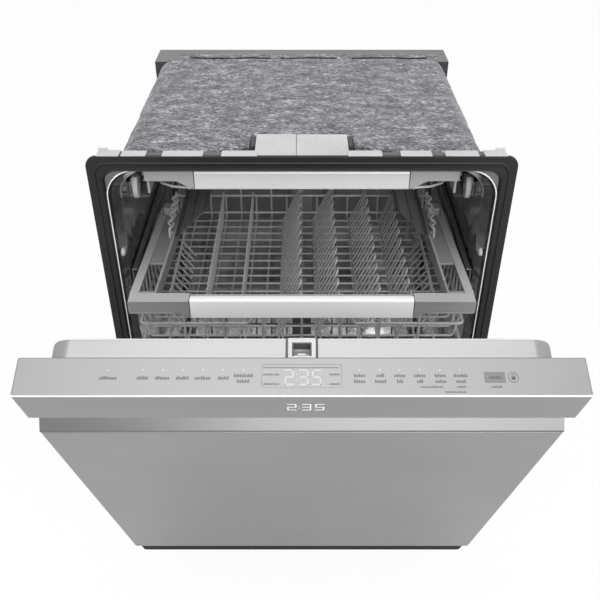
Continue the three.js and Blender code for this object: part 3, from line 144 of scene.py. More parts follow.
def show_white(tree, plain, white, output, seen, mirrored):
    """Lets a white shader stand in for the plain one by the white share."""
    either = tree.nodes.new("ShaderNodeMixShader")
    tree.links.new(white_share(tree, seen, mirrored), either.inputs[0])
    tree.links.new(plain.outputs[0], either.inputs[1])
    tree.links.new(white.outputs[0], either.inputs[2])
    tree.links.new(either.outputs[0], tree.nodes.new(output).inputs["Surface"])


world = bpy.data.worlds.new("white_room")
scene.world = world
world.use_nodes = True
world.node_tree.nodes.clear()
ambient, white = (world.node_tree.nodes.new("ShaderNodeBackground") for _ in range(2))
for sky, strength in ((ambient, 0.62), (white, 1.0)):
    sky.inputs["Color"].default_value = (1, 1, 1, 1)
    sky.inputs["Strength"].default_value = strength
show_white(world.node_tree, ambient, white, "ShaderNodeOutputWorld", 1.0, 1.0)


def soft_lamp(name, place, aim, width, height, watts):
    lamp = bpy.data.lights.new(name, "AREA")
    lamp.shape = "RECTANGLE"
    lamp.size, lamp.size_y, lamp.energy = width, height, watts
    stand = bpy.data.objects.new(name, lamp)
    stand.location = place
    stand.rotation_euler = (Vector(aim) - Vector(place)).to_track_quat("-Z", "Y").to_euler()
    scene.collection.objects.link(stand)


soft_lamp("lamp_above", (-0.1, -0.5, 2.9), (0, 0, 0.6), 2.2, 2.2, 30)
soft_lamp("lamp_front", (0.5, -2.5, 1.9), (0, 0.1, 0.65), 1.8, 1.4, 52)

floor_paint = empty_paint("floor_paint")
bare = floor_paint.node_tree.nodes.new("ShaderNodeBsdfDiffuse")
bare.inputs["Color"].default_value = (0.9, 0.9, 0.9, 1)
glow = floor_paint.node_tree.nodes.new("ShaderNodeEmission")
glow.inputs["Strength"].default_value = 1.0
show_white(floor_paint.node_tree, bare, glow, "ShaderNodeOutputMaterial", 0.95, 0.36)

floor_mesh = bpy.data.meshes.new("floor")
floor_mesh.from_pydata([(-9, -9, 0), (9, -9, 0), (9, 9, 0), (-9, 9, 0)], [], [(0, 1, 2, 3)])
floor_mesh.materials.append(floor_paint)
floor = bpy.data.objects.new("floor", floor_mesh)
scene.collection.objects.link(floor)
floor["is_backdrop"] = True

# %% [markdown]
# Sizes below are millimetres in the drawing's own layout: x to the right, y back from the face of the tub's
# flange, z up from the floor. Two matrices bring them into the frame. CABINET only scales and slides. DOOR
# also turns about the hinge, so the door's pieces can be drawn with the door shut.

# %% From the drawing to the frame
MM = 0.001
REAR_FRAME_FRONT, DOOR_ANGLE = 499.5, 24.1
HINGE_LINE = Vector((0, -13.5, 102))
slide_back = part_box("rear_frame")[0].y - REAR_FRAME_FRONT * MM
IN_METRES = Matrix.Scale(MM, 4)
CABINET = Matrix.Translation((0, slide_back, 0)) @ IN_METRES
DOOR = (CABINET @ Matrix.Translation(HINGE_LINE) @ Matrix.Rotation(math.radians(DOOR_ANGLE), 4, "X")
        @ Matrix.Translation(-HINGE_LINE))
print("the drawing slides back by", round(slide_back, 5), "m")

# %% [markdown]
# Every finish is a small set of nodes. A noise pattern, stretched along the way the material was worked,
# drives three things at once: the colour between two tones, the roughness between two values, and a shallow
# bump. A second, larger pattern keeps a big surface from looking printed. Brushed sheet, cast plastic, felt
# and coated wire differ only in those numbers, so one helper serves them all.

# %% Finishes: the helper
def tone(level, tint=(1.0, 1.0, 1.0)):
    """The linear colour of a grey that reads as this 0 to 255 level on screen."""
    share = level / 255
    linear = share / 12.92 if share <= 0.04045 else ((share + 0.055) / 1.055) ** 2.4
    return tuple(min(1.0, linear * part) for part in tint) + (1.0,)


def noise_layer(tree, where, stretch, detail):
    """Noise with this many grains in a metre along x, y and z."""
    pulled = tree.nodes.new("ShaderNodeMapping")
    pulled.inputs["Scale"].default_value = stretch
    tree.links.new(where.outputs["Object"], pulled.inputs["Vector"])
    grain = tree.nodes.new("ShaderNodeTexNoise")
    grain.inputs["Scale"].default_value = 1.0
    grain.inputs["Detail"].default_value = detail
    tree.links.new(pulled.outputs[0], grain.inputs["Vector"])
    return grain


def finish(name, levels, rough, stretch, bump, depth, metallic=0.0, cloud=0.35, cloud_size=9.0, **fixed):
    """A finish between two grey levels and two roughnesses.

    stretch says how many grains lie in a metre along x, y and z. bump and depth (in mm) shape their relief.
    cloud is the larger pattern's part in the tones, and cloud_size how many of its patches lie in a metre.
    """
    dark, light = (tone(level) for level in levels)
    paint = empty_paint(name)
    tree = paint.node_tree
    make, link = tree.nodes.new, tree.links.new
    where = make("ShaderNodeTexCoord")
    grain = noise_layer(tree, where, stretch, 4.0)
    patches = make("ShaderNodeTexNoise")
    patches.inputs["Scale"].default_value = cloud_size
    patches.inputs["Detail"].default_value = 2.0
    link(where.outputs["Object"], patches.inputs["Vector"])
    both = make("ShaderNodeMix")
    both.inputs[0].default_value = cloud
    link(grain.outputs["Fac"], both.inputs[2])
    link(patches.outputs["Fac"], both.inputs[3])
    tones = make("ShaderNodeValToRGB")
    low, high = tones.color_ramp.elements
    low.position, low.color = 0.3, dark
    high.position, high.color = 0.7, light
    link(both.outputs[0], tones.inputs[0])
    roughness = make("ShaderNodeMapRange")
    roughness.inputs["To Min"].default_value, roughness.inputs["To Max"].default_value = rough
    link(grain.outputs["Fac"], roughness.inputs["Value"])
    relief = make("ShaderNodeBump")
    relief.inputs["Strength"].default_value = bump
    relief.inputs["Distance"].default_value = depth * MM
    link(grain.outputs["Fac"], relief.inputs["Height"])
    surface = make("ShaderNodeBsdfPrincipled")
    surface.inputs["Metallic"].default_value = metallic
    for socket, value in fixed.items():
        surface.inputs[socket.replace("_", " ")].default_value = value
    link(tones.outputs[0], surface.inputs["Base Color"])
    link(roughness.outputs[0], surface.inputs["Roughness"])
    link(relief.outputs[0], surface.inputs["Normal"])
    out = make("ShaderNodeOutputMaterial")
    link(surface.outputs[0], out.inputs["Surface"])
    return paint


# %% [markdown]
# The door's steel was brushed from side to side, so its grain is hundreds of times finer upwards than
# across. The console's top gets its own copy of that steel, whose tones paint the light that falls on the
# top. The tub is bright drawn steel that mirrors its own dark inside. After its name each finish has its
# two grey levels, its two roughnesses, the grain's stretch along x, y and z, the relief's strength and
# depth, the share of metal, and the larger pattern's part and size.

# %% Finishes: the set
BRUSHED = finish("brushed_door_steel", (132, 148), (0.3, 0.42), (3, 900, 900), 0.25, 0.05, 0.9, 0.5, 3)
CONSOLE_TOP_PAINTED_LIGHT = finish("console_top_painted_light", (134, 142), (0.36, 0.46), (3, 700, 700), 0.12, 0.04, 0.7, 0.5, 3)
# A near-white finish, a painted highlight: the bright line on the console's fold, the liner's far edge and
# the tub's mouth.
PAINTED_HIGHLIGHT = finish("white_painted_highlight", (238, 250), (0.16, 0.24), (3, 400, 400), 0.1, 0.03, 0.6)
BRIGHT = finish("bright_liner_steel", (143, 154), (0.24, 0.34), (4, 300, 300), 0.12, 0.05, 0.6, 0.6, 4)
TUB = finish("drawn_tub_steel", (200, 222), (0.08, 0.2), (42, 42, 5), 0.5, 0.5, 1.0, 0.5, 6)
FLANGE = finish("flange_steel", (104, 120), (0.2, 0.32), (60, 60, 60), 0.15, 0.1, 0.95, 0.5, 12)
# A paler copy of the handle bars' silver with less metal: painted light on the middle bar.
MIDDLE_BAR_PAINTED_LIGHT = finish("silver_middle_bar_painted_light", (246, 252), (0.3, 0.4), (6, 700, 700), 0.12, 0.04, 0.05, 0.5, 4)
BAR = finish("silver_handle_bar", (224, 234), (0.3, 0.4), (6, 700, 700), 0.12, 0.04, 0.15, 0.5, 4)
GREY = finish("grey_rack_plastic", (134, 146), (0.42, 0.55), (520, 520, 520), 0.15, 0.06, 0.0, 0.4, 14)
LIGHT_GREY = finish("light_rack_plastic", (160, 172), (0.42, 0.55), (520, 520, 520), 0.15, 0.06, 0.0,
                    0.4, 14)
# Dark plastic for the combs and rails, also used as painted shade in the latch's throat.
DARK_GREY = finish("dark_plastic_and_latch_shade", (74, 88), (0.4, 0.52), (520, 520, 520), 0.15, 0.06, 0.0, 0.4, 14)
PALE = finish("pale_bracket_plastic", (172, 188), (0.4, 0.55), (420, 420, 420), 0.15, 0.08, 0.0, 0.5, 12)
BLACK = finish("black_base_plastic", (44, 58), (0.45, 0.6), (420, 420, 420), 0.2, 0.1, 0.0, 0.5, 9)
# Black rubber for the seal, also used for the painted shadow along the blanket's rear edge.
RUBBER_AND_SHADOW_BLACK = finish("black_rubber_and_painted_shadow", (20, 28), (0.42, 0.56), (700, 700, 700), 0.2, 0.08, 0.0, 0.4, 9,
                Specular_IOR_Level=0.35)
WIRE = finish("coated_rack_wire", (168, 188), (0.3, 0.42), (300, 300, 300), 0.2, 0.1, 0.1, 0.4, 20)
IRON = finish("dark_rear_steel", (104, 122), (0.35, 0.5), (90, 90, 90), 0.2, 0.1, 0.5, 0.5, 7)
IRON_FRONT = finish("shaded_rear_steel", (44, 62), (0.45, 0.6), (90, 90, 90), 0.2, 0.1, 0.3, 0.5, 7)
ZINC = finish("zinc_bracket_steel", (150, 176), (0.28, 0.45), (120, 120, 120), 0.2, 0.1, 0.85, 0.6, 30)
PRINT = finish("console_print", (66, 76), (0.5, 0.6), (900, 900, 900), 0.1, 0.02)
PRINT_PALE = finish("pale_console_print", (176, 186), (0.45, 0.55), (900, 900, 900), 0.1, 0.02)
PRINT_LIT = finish("lit_front_digits", (224, 236), (0.45, 0.55), (900, 900, 900), 0.1, 0.02)
KEY_FACE = finish("start_key_face", (106, 114), (0.38, 0.5), (700, 700, 700), 0.1, 0.03, 0.5)
LENS = finish("display_window_face", (132, 138), (0.22, 0.3), (3, 500, 500), 0.05, 0.02, 0.5, 0.5, 3)
# A darker copy of the door's brushed steel for the pocket: painted shade under the console.
SCOOP_PAINTED_SHADE = finish("pocket_sheet_painted_shade", (104, 116), (0.3, 0.42), (3, 700, 700), 0.2, 0.05, 0.8, 0.5, 3)
LABEL = finish("bare_plate_film", (178, 196), (0.35, 0.5), (160, 90, 90), 0.1, 0.08, 0.1, 0.5, 18)
STRIP_FACE = finish("foot_strip_plastic", (16, 22), (0.6, 0.7), (420, 420, 420), 0.1, 0.05, 0.0, 0.5, 9,
                    Specular_IOR_Level=0.15)
# The bars' up-facing faces get this finish: a painted highlight along the rolled top.
BAR_TOP_HIGHLIGHT = finish("bar_top_painted_highlight", (238, 246), (0.25, 0.35), (6, 500, 500), 0.1, 0.03, 0.2, 0.5, 4)
print(len(bpy.data.materials), "finishes so far")

# %% [markdown]
# Felt needs more than one noise. Short fibres lie mostly from side to side, so a fine noise is pulled long
# along x. A coarser one gathers the fibres in tufts, and the ramp has four stops, because felt made from
# waste wool mixes dark, middle and pale threads. Sheen adds the soft glow that loose fibre ends give at a
# slant.

# %% Finishes: felt
def felt_finish(name, tones, sheen=0.25):
    paint = empty_paint(name)
    tree = paint.node_tree
    make, link = tree.nodes.new, tree.links.new
    where = make("ShaderNodeTexCoord")
    layers = []
    for stretch, detail in (((150, 420, 420), 5.0), ((520, 1300, 1300), 3.0), ((30, 60, 60), 2.0)):
        grain = noise_layer(tree, where, stretch, detail)
        grain.inputs["Roughness"].default_value = 0.6
        layers.append(grain.outputs["Fac"])
    fibres = make("ShaderNodeMix")
    fibres.inputs[0].default_value = 0.38
    link(layers[0], fibres.inputs[2])
    link(layers[1], fibres.inputs[3])
    tufted = make("ShaderNodeMix")
    tufted.inputs[0].default_value = 0.22
    link(fibres.outputs[0], tufted.inputs[2])
    link(layers[2], tufted.inputs[3])
    ramp = make("ShaderNodeValToRGB")
    stops = ramp.color_ramp.elements
    stops[0].position, stops[0].color = tones[0]
    stops[1].position, stops[1].color = tones[-1]
    for place, colour in tones[1:-1]:
        stops.new(place).color = colour
    link(tufted.outputs[0], ramp.inputs[0])
    relief = make("ShaderNodeBump")
    relief.inputs["Strength"].default_value = 0.9
    relief.inputs["Distance"].default_value = 1.4 * MM
    link(tufted.outputs[0], relief.inputs["Height"])
    surface = make("ShaderNodeBsdfPrincipled")
    surface.inputs["Roughness"].default_value = 0.95
    surface.inputs["Sheen Weight"].default_value = sheen
    surface.inputs["Sheen Roughness"].default_value = 0.5
    link(ramp.outputs[0], surface.inputs["Base Color"])
    link(relief.outputs[0], surface.inputs["Normal"])
    out = make("ShaderNodeOutputMaterial")
    link(surface.outputs[0], out.inputs["Surface"])
    return paint


VIOLET = (0.99, 0.97, 1.08)
FELT = felt_finish("recycled_wool_felt", [(0.39, tone(16, VIOLET)), (0.465, tone(70, VIOLET)),
                                          (0.535, tone(122, VIOLET)), (0.615, tone(208, VIOLET))])
CORE_FELT = felt_finish("door_filling_felt", [(0.3, tone(40)), (0.5, tone(66)), (0.7, tone(96))], 0.1)
print("the felt has", len(FELT.node_tree.nodes), "nodes")

# %% [markdown]
# All pieces come from a few building calls. A block, a prism and a skin over rings make moulded and bent
# parts, and every sharp edge is then eased a little, because no real edge is sharp and the light line along
# it tells the eye how big the piece is. Forms can be put together before they become one piece.

# %% Building: blocks, prisms and skins
DIRECTIONS = {"x": ((0, 1, 0), (0, 0, 1), (1, 0, 0)),
              "y": ((1, 0, 0), (0, 0, 1), (0, 1, 0)),
              "z": ((1, 0, 0), (0, 1, 0), (0, 0, 1))}


def soften(form, edge, steps=2, sharp=25):
    """Rounds the edges where two faces meet at more than `sharp` degrees."""
    limit = math.radians(sharp)
    edges = [e for e in form.edges if len(e.link_faces) == 2 and e.calc_face_angle() > limit]
    if edge:
        bmesh.ops.bevel(form, geom=edges, offset=edge, segments=steps, profile=0.5, affect="EDGES",
                        clamp_overlap=True)
    return form


def skin(rings, caps=True, loop=False, open_rings=False):
    """A surface over rings that all have the same count of points."""
    form = bmesh.new()
    rows = [[form.verts.new(point) for point in ring] for ring in rings]
    count = len(rows[0])
    pairs = list(zip(rows, rows[1:])) + ([(rows[-1], rows[0])] if loop else [])
    for one, two in pairs:
        for i in range(count - 1 if open_rings else count):
            j = (i + 1) % count
            form.faces.new((one[i], one[j], two[j], two[i]))
    if caps and not loop:
        form.faces.new(rows[0][::-1])
        form.faces.new(rows[-1])
    bmesh.ops.recalc_face_normals(form, faces=form.faces)
    return form


def prism(outline, axis, start, end, edge=0.6, steps=2, sharp=25):
    """An outline drawn out along an axis, with its edges eased."""
    across, up, along = (Vector(side) for side in DIRECTIONS[axis])
    rings = [[across * a + up * b + along * at for a, b in outline] for at in (start, end)]
    return soften(skin(rings), edge, steps, sharp)


def block(left, right, front, rear, low, high, edge=0.8, steps=2):
    left, right = min(left, right), max(left, right)
    return prism([(left, front), (right, front), (right, rear), (left, rear)], "z", low, high, edge, steps)


def around(count):
    """Angles in equal steps once round a circle."""
    return [2 * math.pi * i / count for i in range(count)]


def drum(radius, start, end, axis, a, b, edge, sides):
    """A cylinder along an axis; a and b are its centre on the other two axes, in their order."""
    outline = [(a + radius * math.cos(turn), b + radius * math.sin(turn)) for turn in around(sides)]
    return prism(outline, axis, start, end, edge, sharp=40)


def lathe(profile, x, y, sides):
    """A profile of (radius, height) points turned about an upright axis; it starts and ends on the axis."""
    rings = [[(x + r * math.cos(turn), y + r * math.sin(turn), z) for turn in around(sides)]
             for r, z in profile if r > 0]
    return skin(rings)


def together(*forms):
    whole = bmesh.new()
    for form in forms:
        mesh = bpy.data.meshes.new("part")
        form.to_mesh(mesh)
        form.free()
        whole.from_mesh(mesh)
        bpy.data.meshes.remove(mesh)
    return whole


def rounded(half, low, high, low_radius, high_radius, steps=9, straight=1):
    """Points (x, z) of a rounded rectangle; each straight side is cut in `straight` lengths."""
    corners = [(half - high_radius, high - high_radius, high_radius),
               (-half + high_radius, high - high_radius, high_radius),
               (-half + low_radius, low + low_radius, low_radius),
               (half - low_radius, low + low_radius, low_radius)]
    arcs = []
    for quarter, (x, z, radius) in enumerate(corners):
        turns = [(quarter + step / steps) * math.pi / 2 for step in range(steps + 1)]
        arcs.append([(x + radius * math.cos(turn), z + radius * math.sin(turn)) for turn in turns])
    points = []
    for arc, after in zip(arcs, arcs[1:] + arcs[:1]):
        points += arc
        (x0, z0), (x1, z1) = arc[-1], after[0]
        points += [(x0 + (x1 - x0) * i / straight, z0 + (z1 - z0) * i / straight) for i in range(1, straight)]
    return points


def flat_ring(outline, y):
    return [(x, y, z) for x, z in outline]


print("building calls: block, prism, skin, drum, lathe")

# %% [markdown]
# A wire is a circle carried along a bent path. Each corner of the path becomes a smooth curve that leaves
# and meets the straights where an arc of the bend's radius would. The ends are domed as a cut and tumbled
# wire's are. The circle keeps its own turn from point to point, so that the tube never twists.

# %% Building: wires
BEND_STEPS = 4


def filleted(points, bend, closed):
    """The path with its corners made round."""
    path = []
    points = [Vector(point) for point in points]
    for i, at in enumerate(points):
        if not closed and i in (0, len(points) - 1):
            path.append(at)
            continue
        back, ahead = points[i - 1] - at, points[(i + 1) % len(points)] - at
        corner = back.angle(ahead)
        if corner > math.pi - 0.03:
            path.append(at)
            continue
        reach = min(bend / math.tan(corner / 2), back.length * 0.48, ahead.length * 0.48)
        start, end = at + back.normalized() * reach, at + ahead.normalized() * reach
        for step in range(BEND_STEPS + 1):
            t = step / BEND_STEPS
            path.append(start * (1 - t) ** 2 + at * 2 * t * (1 - t) + end * t * t)
    return path


def add_wire(form, points, radius, bend, sides, closed):
    """Adds one wire's tube to a form."""
    path = filleted(points, bend, closed)
    count = len(path)
    heading = (path[1] - path[0]).normalized()
    side = heading.orthogonal().normalized()
    rows = []
    for i, at in enumerate(path):
        before = path[i - 1] if i or closed else at
        after = path[(i + 1) % count] if i + 1 < count or closed else at
        new_heading = ((at - before).normalized() + (after - at).normalized()).normalized()
        side = (heading.rotation_difference(new_heading) @ side).normalized()
        heading = new_heading
        other = heading.cross(side)
        swell = [(0.0, 1.0)]
        if not closed and i == 0:
            swell = [(-0.55, 0.45), (-0.3, 0.85), (0.0, 1.0)]
        if not closed and i == count - 1:
            swell = [(0.0, 1.0), (0.3, 0.85), (0.55, 0.45)]
        for shift, size in swell:
            middle = at + heading * shift * radius
            rows.append([form.verts.new(middle + (side * math.cos(turn) + other * math.sin(turn))
                                        * radius * size) for turn in around(sides)])
    pairs = list(zip(rows, rows[1:])) + ([(rows[-1], rows[0])] if closed else [])
    for one, two in pairs:
        for k in range(sides):
            form.faces.new((one[k], one[(k + 1) % sides], two[(k + 1) % sides], two[k]))
    if not closed:
        form.faces.new(rows[0][::-1])
        form.faces.new(rows[-1])


def wires(runs, radius, bend, sides=8, closed=False):
    form = bmesh.new()
    for points in runs:
        add_wire(form, points, radius, bend, sides, closed)
    bmesh.ops.recalc_face_normals(form, faces=form.faces)
    return form


def spread(first, last, count):
    return [first + (last - first) * i / (count - 1) for i in range(count)]


print("every bend of a wire has", BEND_STEPS, "steps")

# %% [markdown]
# A form becomes a piece when it gets a name, a finish and a body to ride on. The drawing's solids that
# already have the right shape keep it: their mesh is copied, its flat faces are merged and its edges are
# rounded, and the copy stands for the solid. Cuts that no bent outline can give are made with a Boolean,
# which is applied at once.

# %% Building: pieces
def mesh_of(form, name):
    mesh = bpy.data.meshes.new(name)
    form.to_mesh(mesh)
    form.free()
    return mesh


def add_piece(name, form, place, body, paints, stands_for=None, sharp=32, choose=None):
    """Puts a form in the frame as a finished piece. choose(face) picks a finish before the form is placed."""
    if choose:
        for face in form.faces:
            face.material_index = choose(face)
    form.transform(place)
    mesh = mesh_of(form, name)
    for paint in paints if isinstance(paints, list) else [paints]:
        mesh.materials.append(paint)
    mesh.shade_smooth()
    mesh.set_sharp_from_angle(angle=math.radians(sharp))
    piece = bpy.data.objects.new(name, mesh)
    scene.collection.objects.link(piece)
    even = piece.modifiers.new("flat_faces_stay_flat", "WEIGHTED_NORMAL")
    even.weight = 100
    even.keep_sharp = True
    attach(piece, body)
    if stands_for:
        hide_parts(stands_for)
    return piece


def drawn(node, edge, steps=2, sharp=30):
    """The drawing's solid, in the frame's metres, with flat faces merged and edges rounded by `edge` mm."""
    form = bmesh.new()
    form.from_mesh(frame["nodes"][node].data)
    bmesh.ops.remove_doubles(form, verts=form.verts, dist=1e-6)
    bmesh.ops.dissolve_limit(form, angle_limit=math.radians(1.5), verts=form.verts, edges=form.edges)
    return soften(form, edge * MM, steps, sharp)


def placed(form, place):
    form.transform(place)
    return form


def carved(form, *tools):
    """The form with the tools' shapes cut out of it."""
    body = bpy.data.objects.new("carving", mesh_of(form, "carving"))
    scene.collection.objects.link(body)
    cutters = []
    for tool in tools:
        cutter = bpy.data.objects.new("cutter", mesh_of(tool, "cutter"))
        scene.collection.objects.link(cutter)
        cut = body.modifiers.new("cut", "BOOLEAN")
        cut.operation, cut.solver, cut.object = "DIFFERENCE", "EXACT", cutter
        cutters.append(cutter)
    view = bpy.context.evaluated_depsgraph_get()
    mesh = bpy.data.meshes.new_from_object(body.evaluated_get(view))
    result = bmesh.new()
    result.from_mesh(mesh)
    for spent in [body, *cutters]:
        old = spent.data
        bpy.data.objects.remove(spent)
        bpy.data.meshes.remove(old)
    bpy.data.meshes.remove(mesh)
    return result


STILL = Matrix.Identity(4)
SIDES = (("left", -1), ("right", 1))


def both_sides(inner, outer, *rest):
    """The same block on the left and on the right."""
    return [block(side * inner, side * outer, *rest) for _, side in SIDES]


# %% [markdown]
# ## The door
# The door is drawn shut. Its outer panel is one sheet of brushed steel, folded back along its sides and
# foot and then folded in again behind, so from behind the door one sees a hem, and the felt filling inside
# it. A skin over nine rings makes the whole fold: face, small rounded edge, side, hem and the inside.

# %% The door's outer panel and its filling
DOOR_HALF, DOOR_FRONT, SHELL_REAR = 301.5, -75, -30.4
PANEL_LOW, POCKET_LOW, CONSOLE_LOW, DOOR_TOP = 150, 742, 788, 850
FOLD, SHEET, HEM = 1.6, 1.2, 17
FILLING_HALF, FILLING_LOW, FILLING_TOP = 299, 152.4, 738


def panel_ring(y, draw, radius):
    return flat_ring(rounded(DOOR_HALF - draw, PANEL_LOW + draw, POCKET_LOW - draw, radius, radius, 4), y)


panel = skin([
    panel_ring(DOOR_FRONT, FOLD, 1),
    panel_ring(DOOR_FRONT + FOLD * 0.3, FOLD * 0.3, 2),
    panel_ring(DOOR_FRONT + FOLD, 0, 2.4),
    panel_ring(SHELL_REAR - 0.8, 0, 2.4),
    panel_ring(SHELL_REAR, 0.8, 1.6),
    panel_ring(SHELL_REAR, HEM, 4),
    panel_ring(SHELL_REAR - SHEET, HEM, 4),
    panel_ring(SHELL_REAR - SHEET - 0.6, SHEET, 1.4),
    panel_ring(DOOR_FRONT + SHEET, SHEET, 1.4),
])
add_piece("outer_panel", panel, DOOR, "door", BRUSHED, "door_outer_panel")

rows = []
for z in spread(FILLING_LOW, FILLING_TOP, 40):
    row = []
    for x in spread(-FILLING_HALF, FILLING_HALF, 40):
        inside = min(1.0, min(FILLING_HALF - abs(x), z - FILLING_LOW, FILLING_TOP - z) / 30)
        lift = inside * 2.6 * noise.noise(Vector((x, z, 0)) / 46)
        row.append((x, SHELL_REAR - 4.4 + lift - 3 * (1 - inside), z))
    rows.append(row)
filling = skin(rows, caps=False, open_rings=True)
thick = bmesh.ops.extrude_face_region(filling, geom=filling.faces[:])
for corner in [g for g in thick["geom"] if isinstance(g, bmesh.types.BMVert)]:
    corner.co.y = DOOR_FRONT + 2
bmesh.ops.recalc_face_normals(filling, faces=filling.faces)
filling = add_piece("door_filling", filling, DOOR, "door", CORE_FELT, "door_insulation")
print("the panel's sheet is", SHEET, "mm thick and its hem is", HEM, "mm wide")

# %% [markdown]
# The console is the bar along the door's top. Its front is brushed like the door. Its top gets the copy
# of the steel whose tones paint the light on the top, and the fold between them gets the near-white finish,
# a painted highlight for the bright line there. So the faces get their finish by the way they look: up,
# forward, or between the two. The display's lens lies in a shallow seat in the top.

# %% The console
LENS_HALF, LENS_FRONT, LENS_REAR, LENS_GAP = 42, -65, -39, 0.15


# Faces that look up get the top's painted light, and faces between up and forward get the painted highlight.
def console_painted_light_face(face):
    if face.normal.z > 0.97:
        return 1
    return 2 if face.normal.z > 0.15 and face.normal.y < -0.15 else 0


console = block(-DOOR_HALF, DOOR_HALF, DOOR_FRONT, SHELL_REAR, CONSOLE_LOW, DOOR_TOP, 1.7, 4)
seat = block(-LENS_HALF, LENS_HALF, LENS_FRONT, LENS_REAR, DOOR_TOP - 1.4, DOOR_TOP + 4, 0)
hollow = block(-290, 290, -62, SHELL_REAR + 4, CONSOLE_LOW + 7, DOOR_TOP - 8, 2)
add_piece("console", carved(console, seat, hollow), DOOR, "door",
          [BRUSHED, CONSOLE_TOP_PAINTED_LIGHT, PAINTED_HIGHLIGHT], "control_console", choose=console_painted_light_face)
lens = block(-LENS_HALF + LENS_GAP, LENS_HALF - LENS_GAP, LENS_FRONT + LENS_GAP, LENS_REAR - LENS_GAP,
             DOOR_TOP - 1.3, DOOR_TOP - 0.04, 0.25)
add_piece("display_window", lens, DOOR, "door", LENS, "display_lens")
ribs = [block(x - 1, x + 1, -60, -33, CONSOLE_LOW + 6, DOOR_TOP - 7, 0.3, 1) for x in spread(-270, 270, 13)]
add_piece("console_ribs", together(*ribs), DOOR, "door", BLACK)
print("console:", 2 * DOOR_HALF, "x", SHELL_REAR - DOOR_FRONT, "x", DOOR_TOP - CONSOLE_LOW, "mm")

# %% [markdown]
# The keys are touch marks printed on the console's top. Each mark is a short row of plain ticks of uneven
# height, with a pale dot behind it. Places are across and back in the drawing, each mark given by its
# middle, its length and how far back it lies. The key at the right end has a ring with a lock beside it.

# %% The console's marks
INK, INK_FOOT, LENS_INK_FOOT = 0.12, 0.02, 0.06
KEY_ROW, LAMP_ROW = -54.2, -45.3
WORDS = ((-202.7, 19, KEY_ROW), (-166.7, 12, KEY_ROW), (-146.1, 16, KEY_ROW), (-125, 15, KEY_ROW),
         (-103.8, 18, KEY_ROW), (-82.2, 13, KEY_ROW), (-61.3, 22, -51.4), (-61.3, 14, -57.8),
         (60.3, 12, -51.4), (60.3, 13, -58), (82.2, 9, -51.4), (82.2, 12, -58),
         (102.5, 12, -51.4), (102.5, 8, -58), (123.4, 12, -51.4), (123.4, 8, -58),
         (145, 13, -51.4), (145, 13, -58), (166, 16, -51.4), (166, 11, -58))
SMALL_WORDS = ((-32, 17, -50.3), (-32, 17, -61), (34.2, 11, -50.3), (34.2, 11, -61), (135, 25, -64.3),
               (166, 10, -64.3), (159.5, 22, -70), (202.7, 11, -64.3))
LAMPS = (-203.4, -166.7, -146.1, -125, -103.8, -82.2, -61.3, 60.3, 82.2, 102.5, 123.4, 145, 166)
random.seed(12)


def ticks(middle, length, back, height, pitch):
    """A row of printed ticks of uneven height."""
    marks = []
    count = max(2, int(length / pitch))
    for i in range(count):
        x = middle + (i - (count - 1) / 2) * pitch
        tall = height * random.choice((0.7, 0.7, 1.0))
        marks.append(block(x - pitch * 0.3, x + pitch * 0.3, back - height / 2, back - height / 2 + tall,
                           DOOR_TOP - INK_FOOT, DOOR_TOP + INK, 0))
    return marks


marks = [tick for middle, length, back in WORDS for tick in ticks(middle, length, back, 3.9, 1.7)]
marks += [tick for middle, length, back in SMALL_WORDS for tick in ticks(middle, length, back, 2.2, 1.2)]
marks.append(block(-41, 39, -42.9, -42.3, DOOR_TOP - LENS_INK_FOOT, DOOR_TOP + INK, 0))
add_piece("console_marks", together(*marks), DOOR, "door", PRINT)
dots = [drum(0.8, DOOR_TOP - INK_FOOT, DOOR_TOP + INK, "z", x, LAMP_ROW, 0, 12) for x in LAMPS]
add_piece("key_lamps", together(*dots), DOOR, "door", PRINT_PALE)

start_key = block(190.8, 212.8, -59.9, -47.4, DOOR_TOP - INK_FOOT, DOOR_TOP + 0.1, 0)
add_piece("start_key", start_key, DOOR, "door", KEY_FACE)
start_marks = ticks(201.8, 14, -53.6, 3.6, 1.9)
lock_ring = [(221.3 + 5.2 * math.cos(t), -53.7 + 5.6 * math.sin(t), DOOR_TOP) for t in around(24)]
lock_bow = [(x, y, DOOR_TOP) for x, y in ((219.9, -53), (219.9, -50.6), (222.7, -50.6), (222.7, -53))]
lock_sign = together(wires([lock_ring], 0.35, 1, 4, True),
                     block(219.2, 223.4, -56.2, -52.8, DOOR_TOP - INK_FOOT, DOOR_TOP + INK, 0),
                     wires([lock_bow], 0.35, 1, 4))
add_piece("start_marks", together(lock_sign, *start_marks), DOOR, "door", PRINT)
print(len(WORDS) + len(SMALL_WORDS), "marks and", len(LAMPS), "lamps on the console")

# %% [markdown]
# The two displays show the minutes left in plain seven-bar digits. One set lies under the lens on top, and
# one shines through the front. A bar is a thin block, and a table says which of the seven bars each digit
# lights.

# %% The displays' digits
BARS = {"2": "abged", "3": "abgcd", "5": "afgcd"}


def digit(sign, left, low, width, height, line, at):
    """Lit bars of one digit on a plane; at(across, up, across2, up2) makes the block."""
    mid, top, right = low + height / 2, low + height, left + width
    places = {"a": (left, top - line, right, top), "g": (left, mid - line / 2, right, mid + line / 2),
              "d": (left, low, right, low + line), "f": (left, mid, left + line, top),
              "b": (right - line, mid, right, top), "e": (left, low, left + line, mid),
              "c": (right - line, low, right, mid)}
    return [at(*places[bar]) for bar in BARS[sign]]


def number(left, low, width, height, line, at):
    """The time 2:35, with its colon."""
    step = width * 1.42
    bars = []
    for sign, start in (("2", left), ("3", left + step + 1.4 * line), ("5", left + 2 * step + 1.4 * line)):
        bars += digit(sign, start, low, width, height, line, at)
    colon = left + width + (step - width + 1.4 * line - line) / 2
    for share in (0.28, 0.64):
        bars.append(at(colon, low + share * height, colon + line, low + share * height + line))
    return together(*bars)


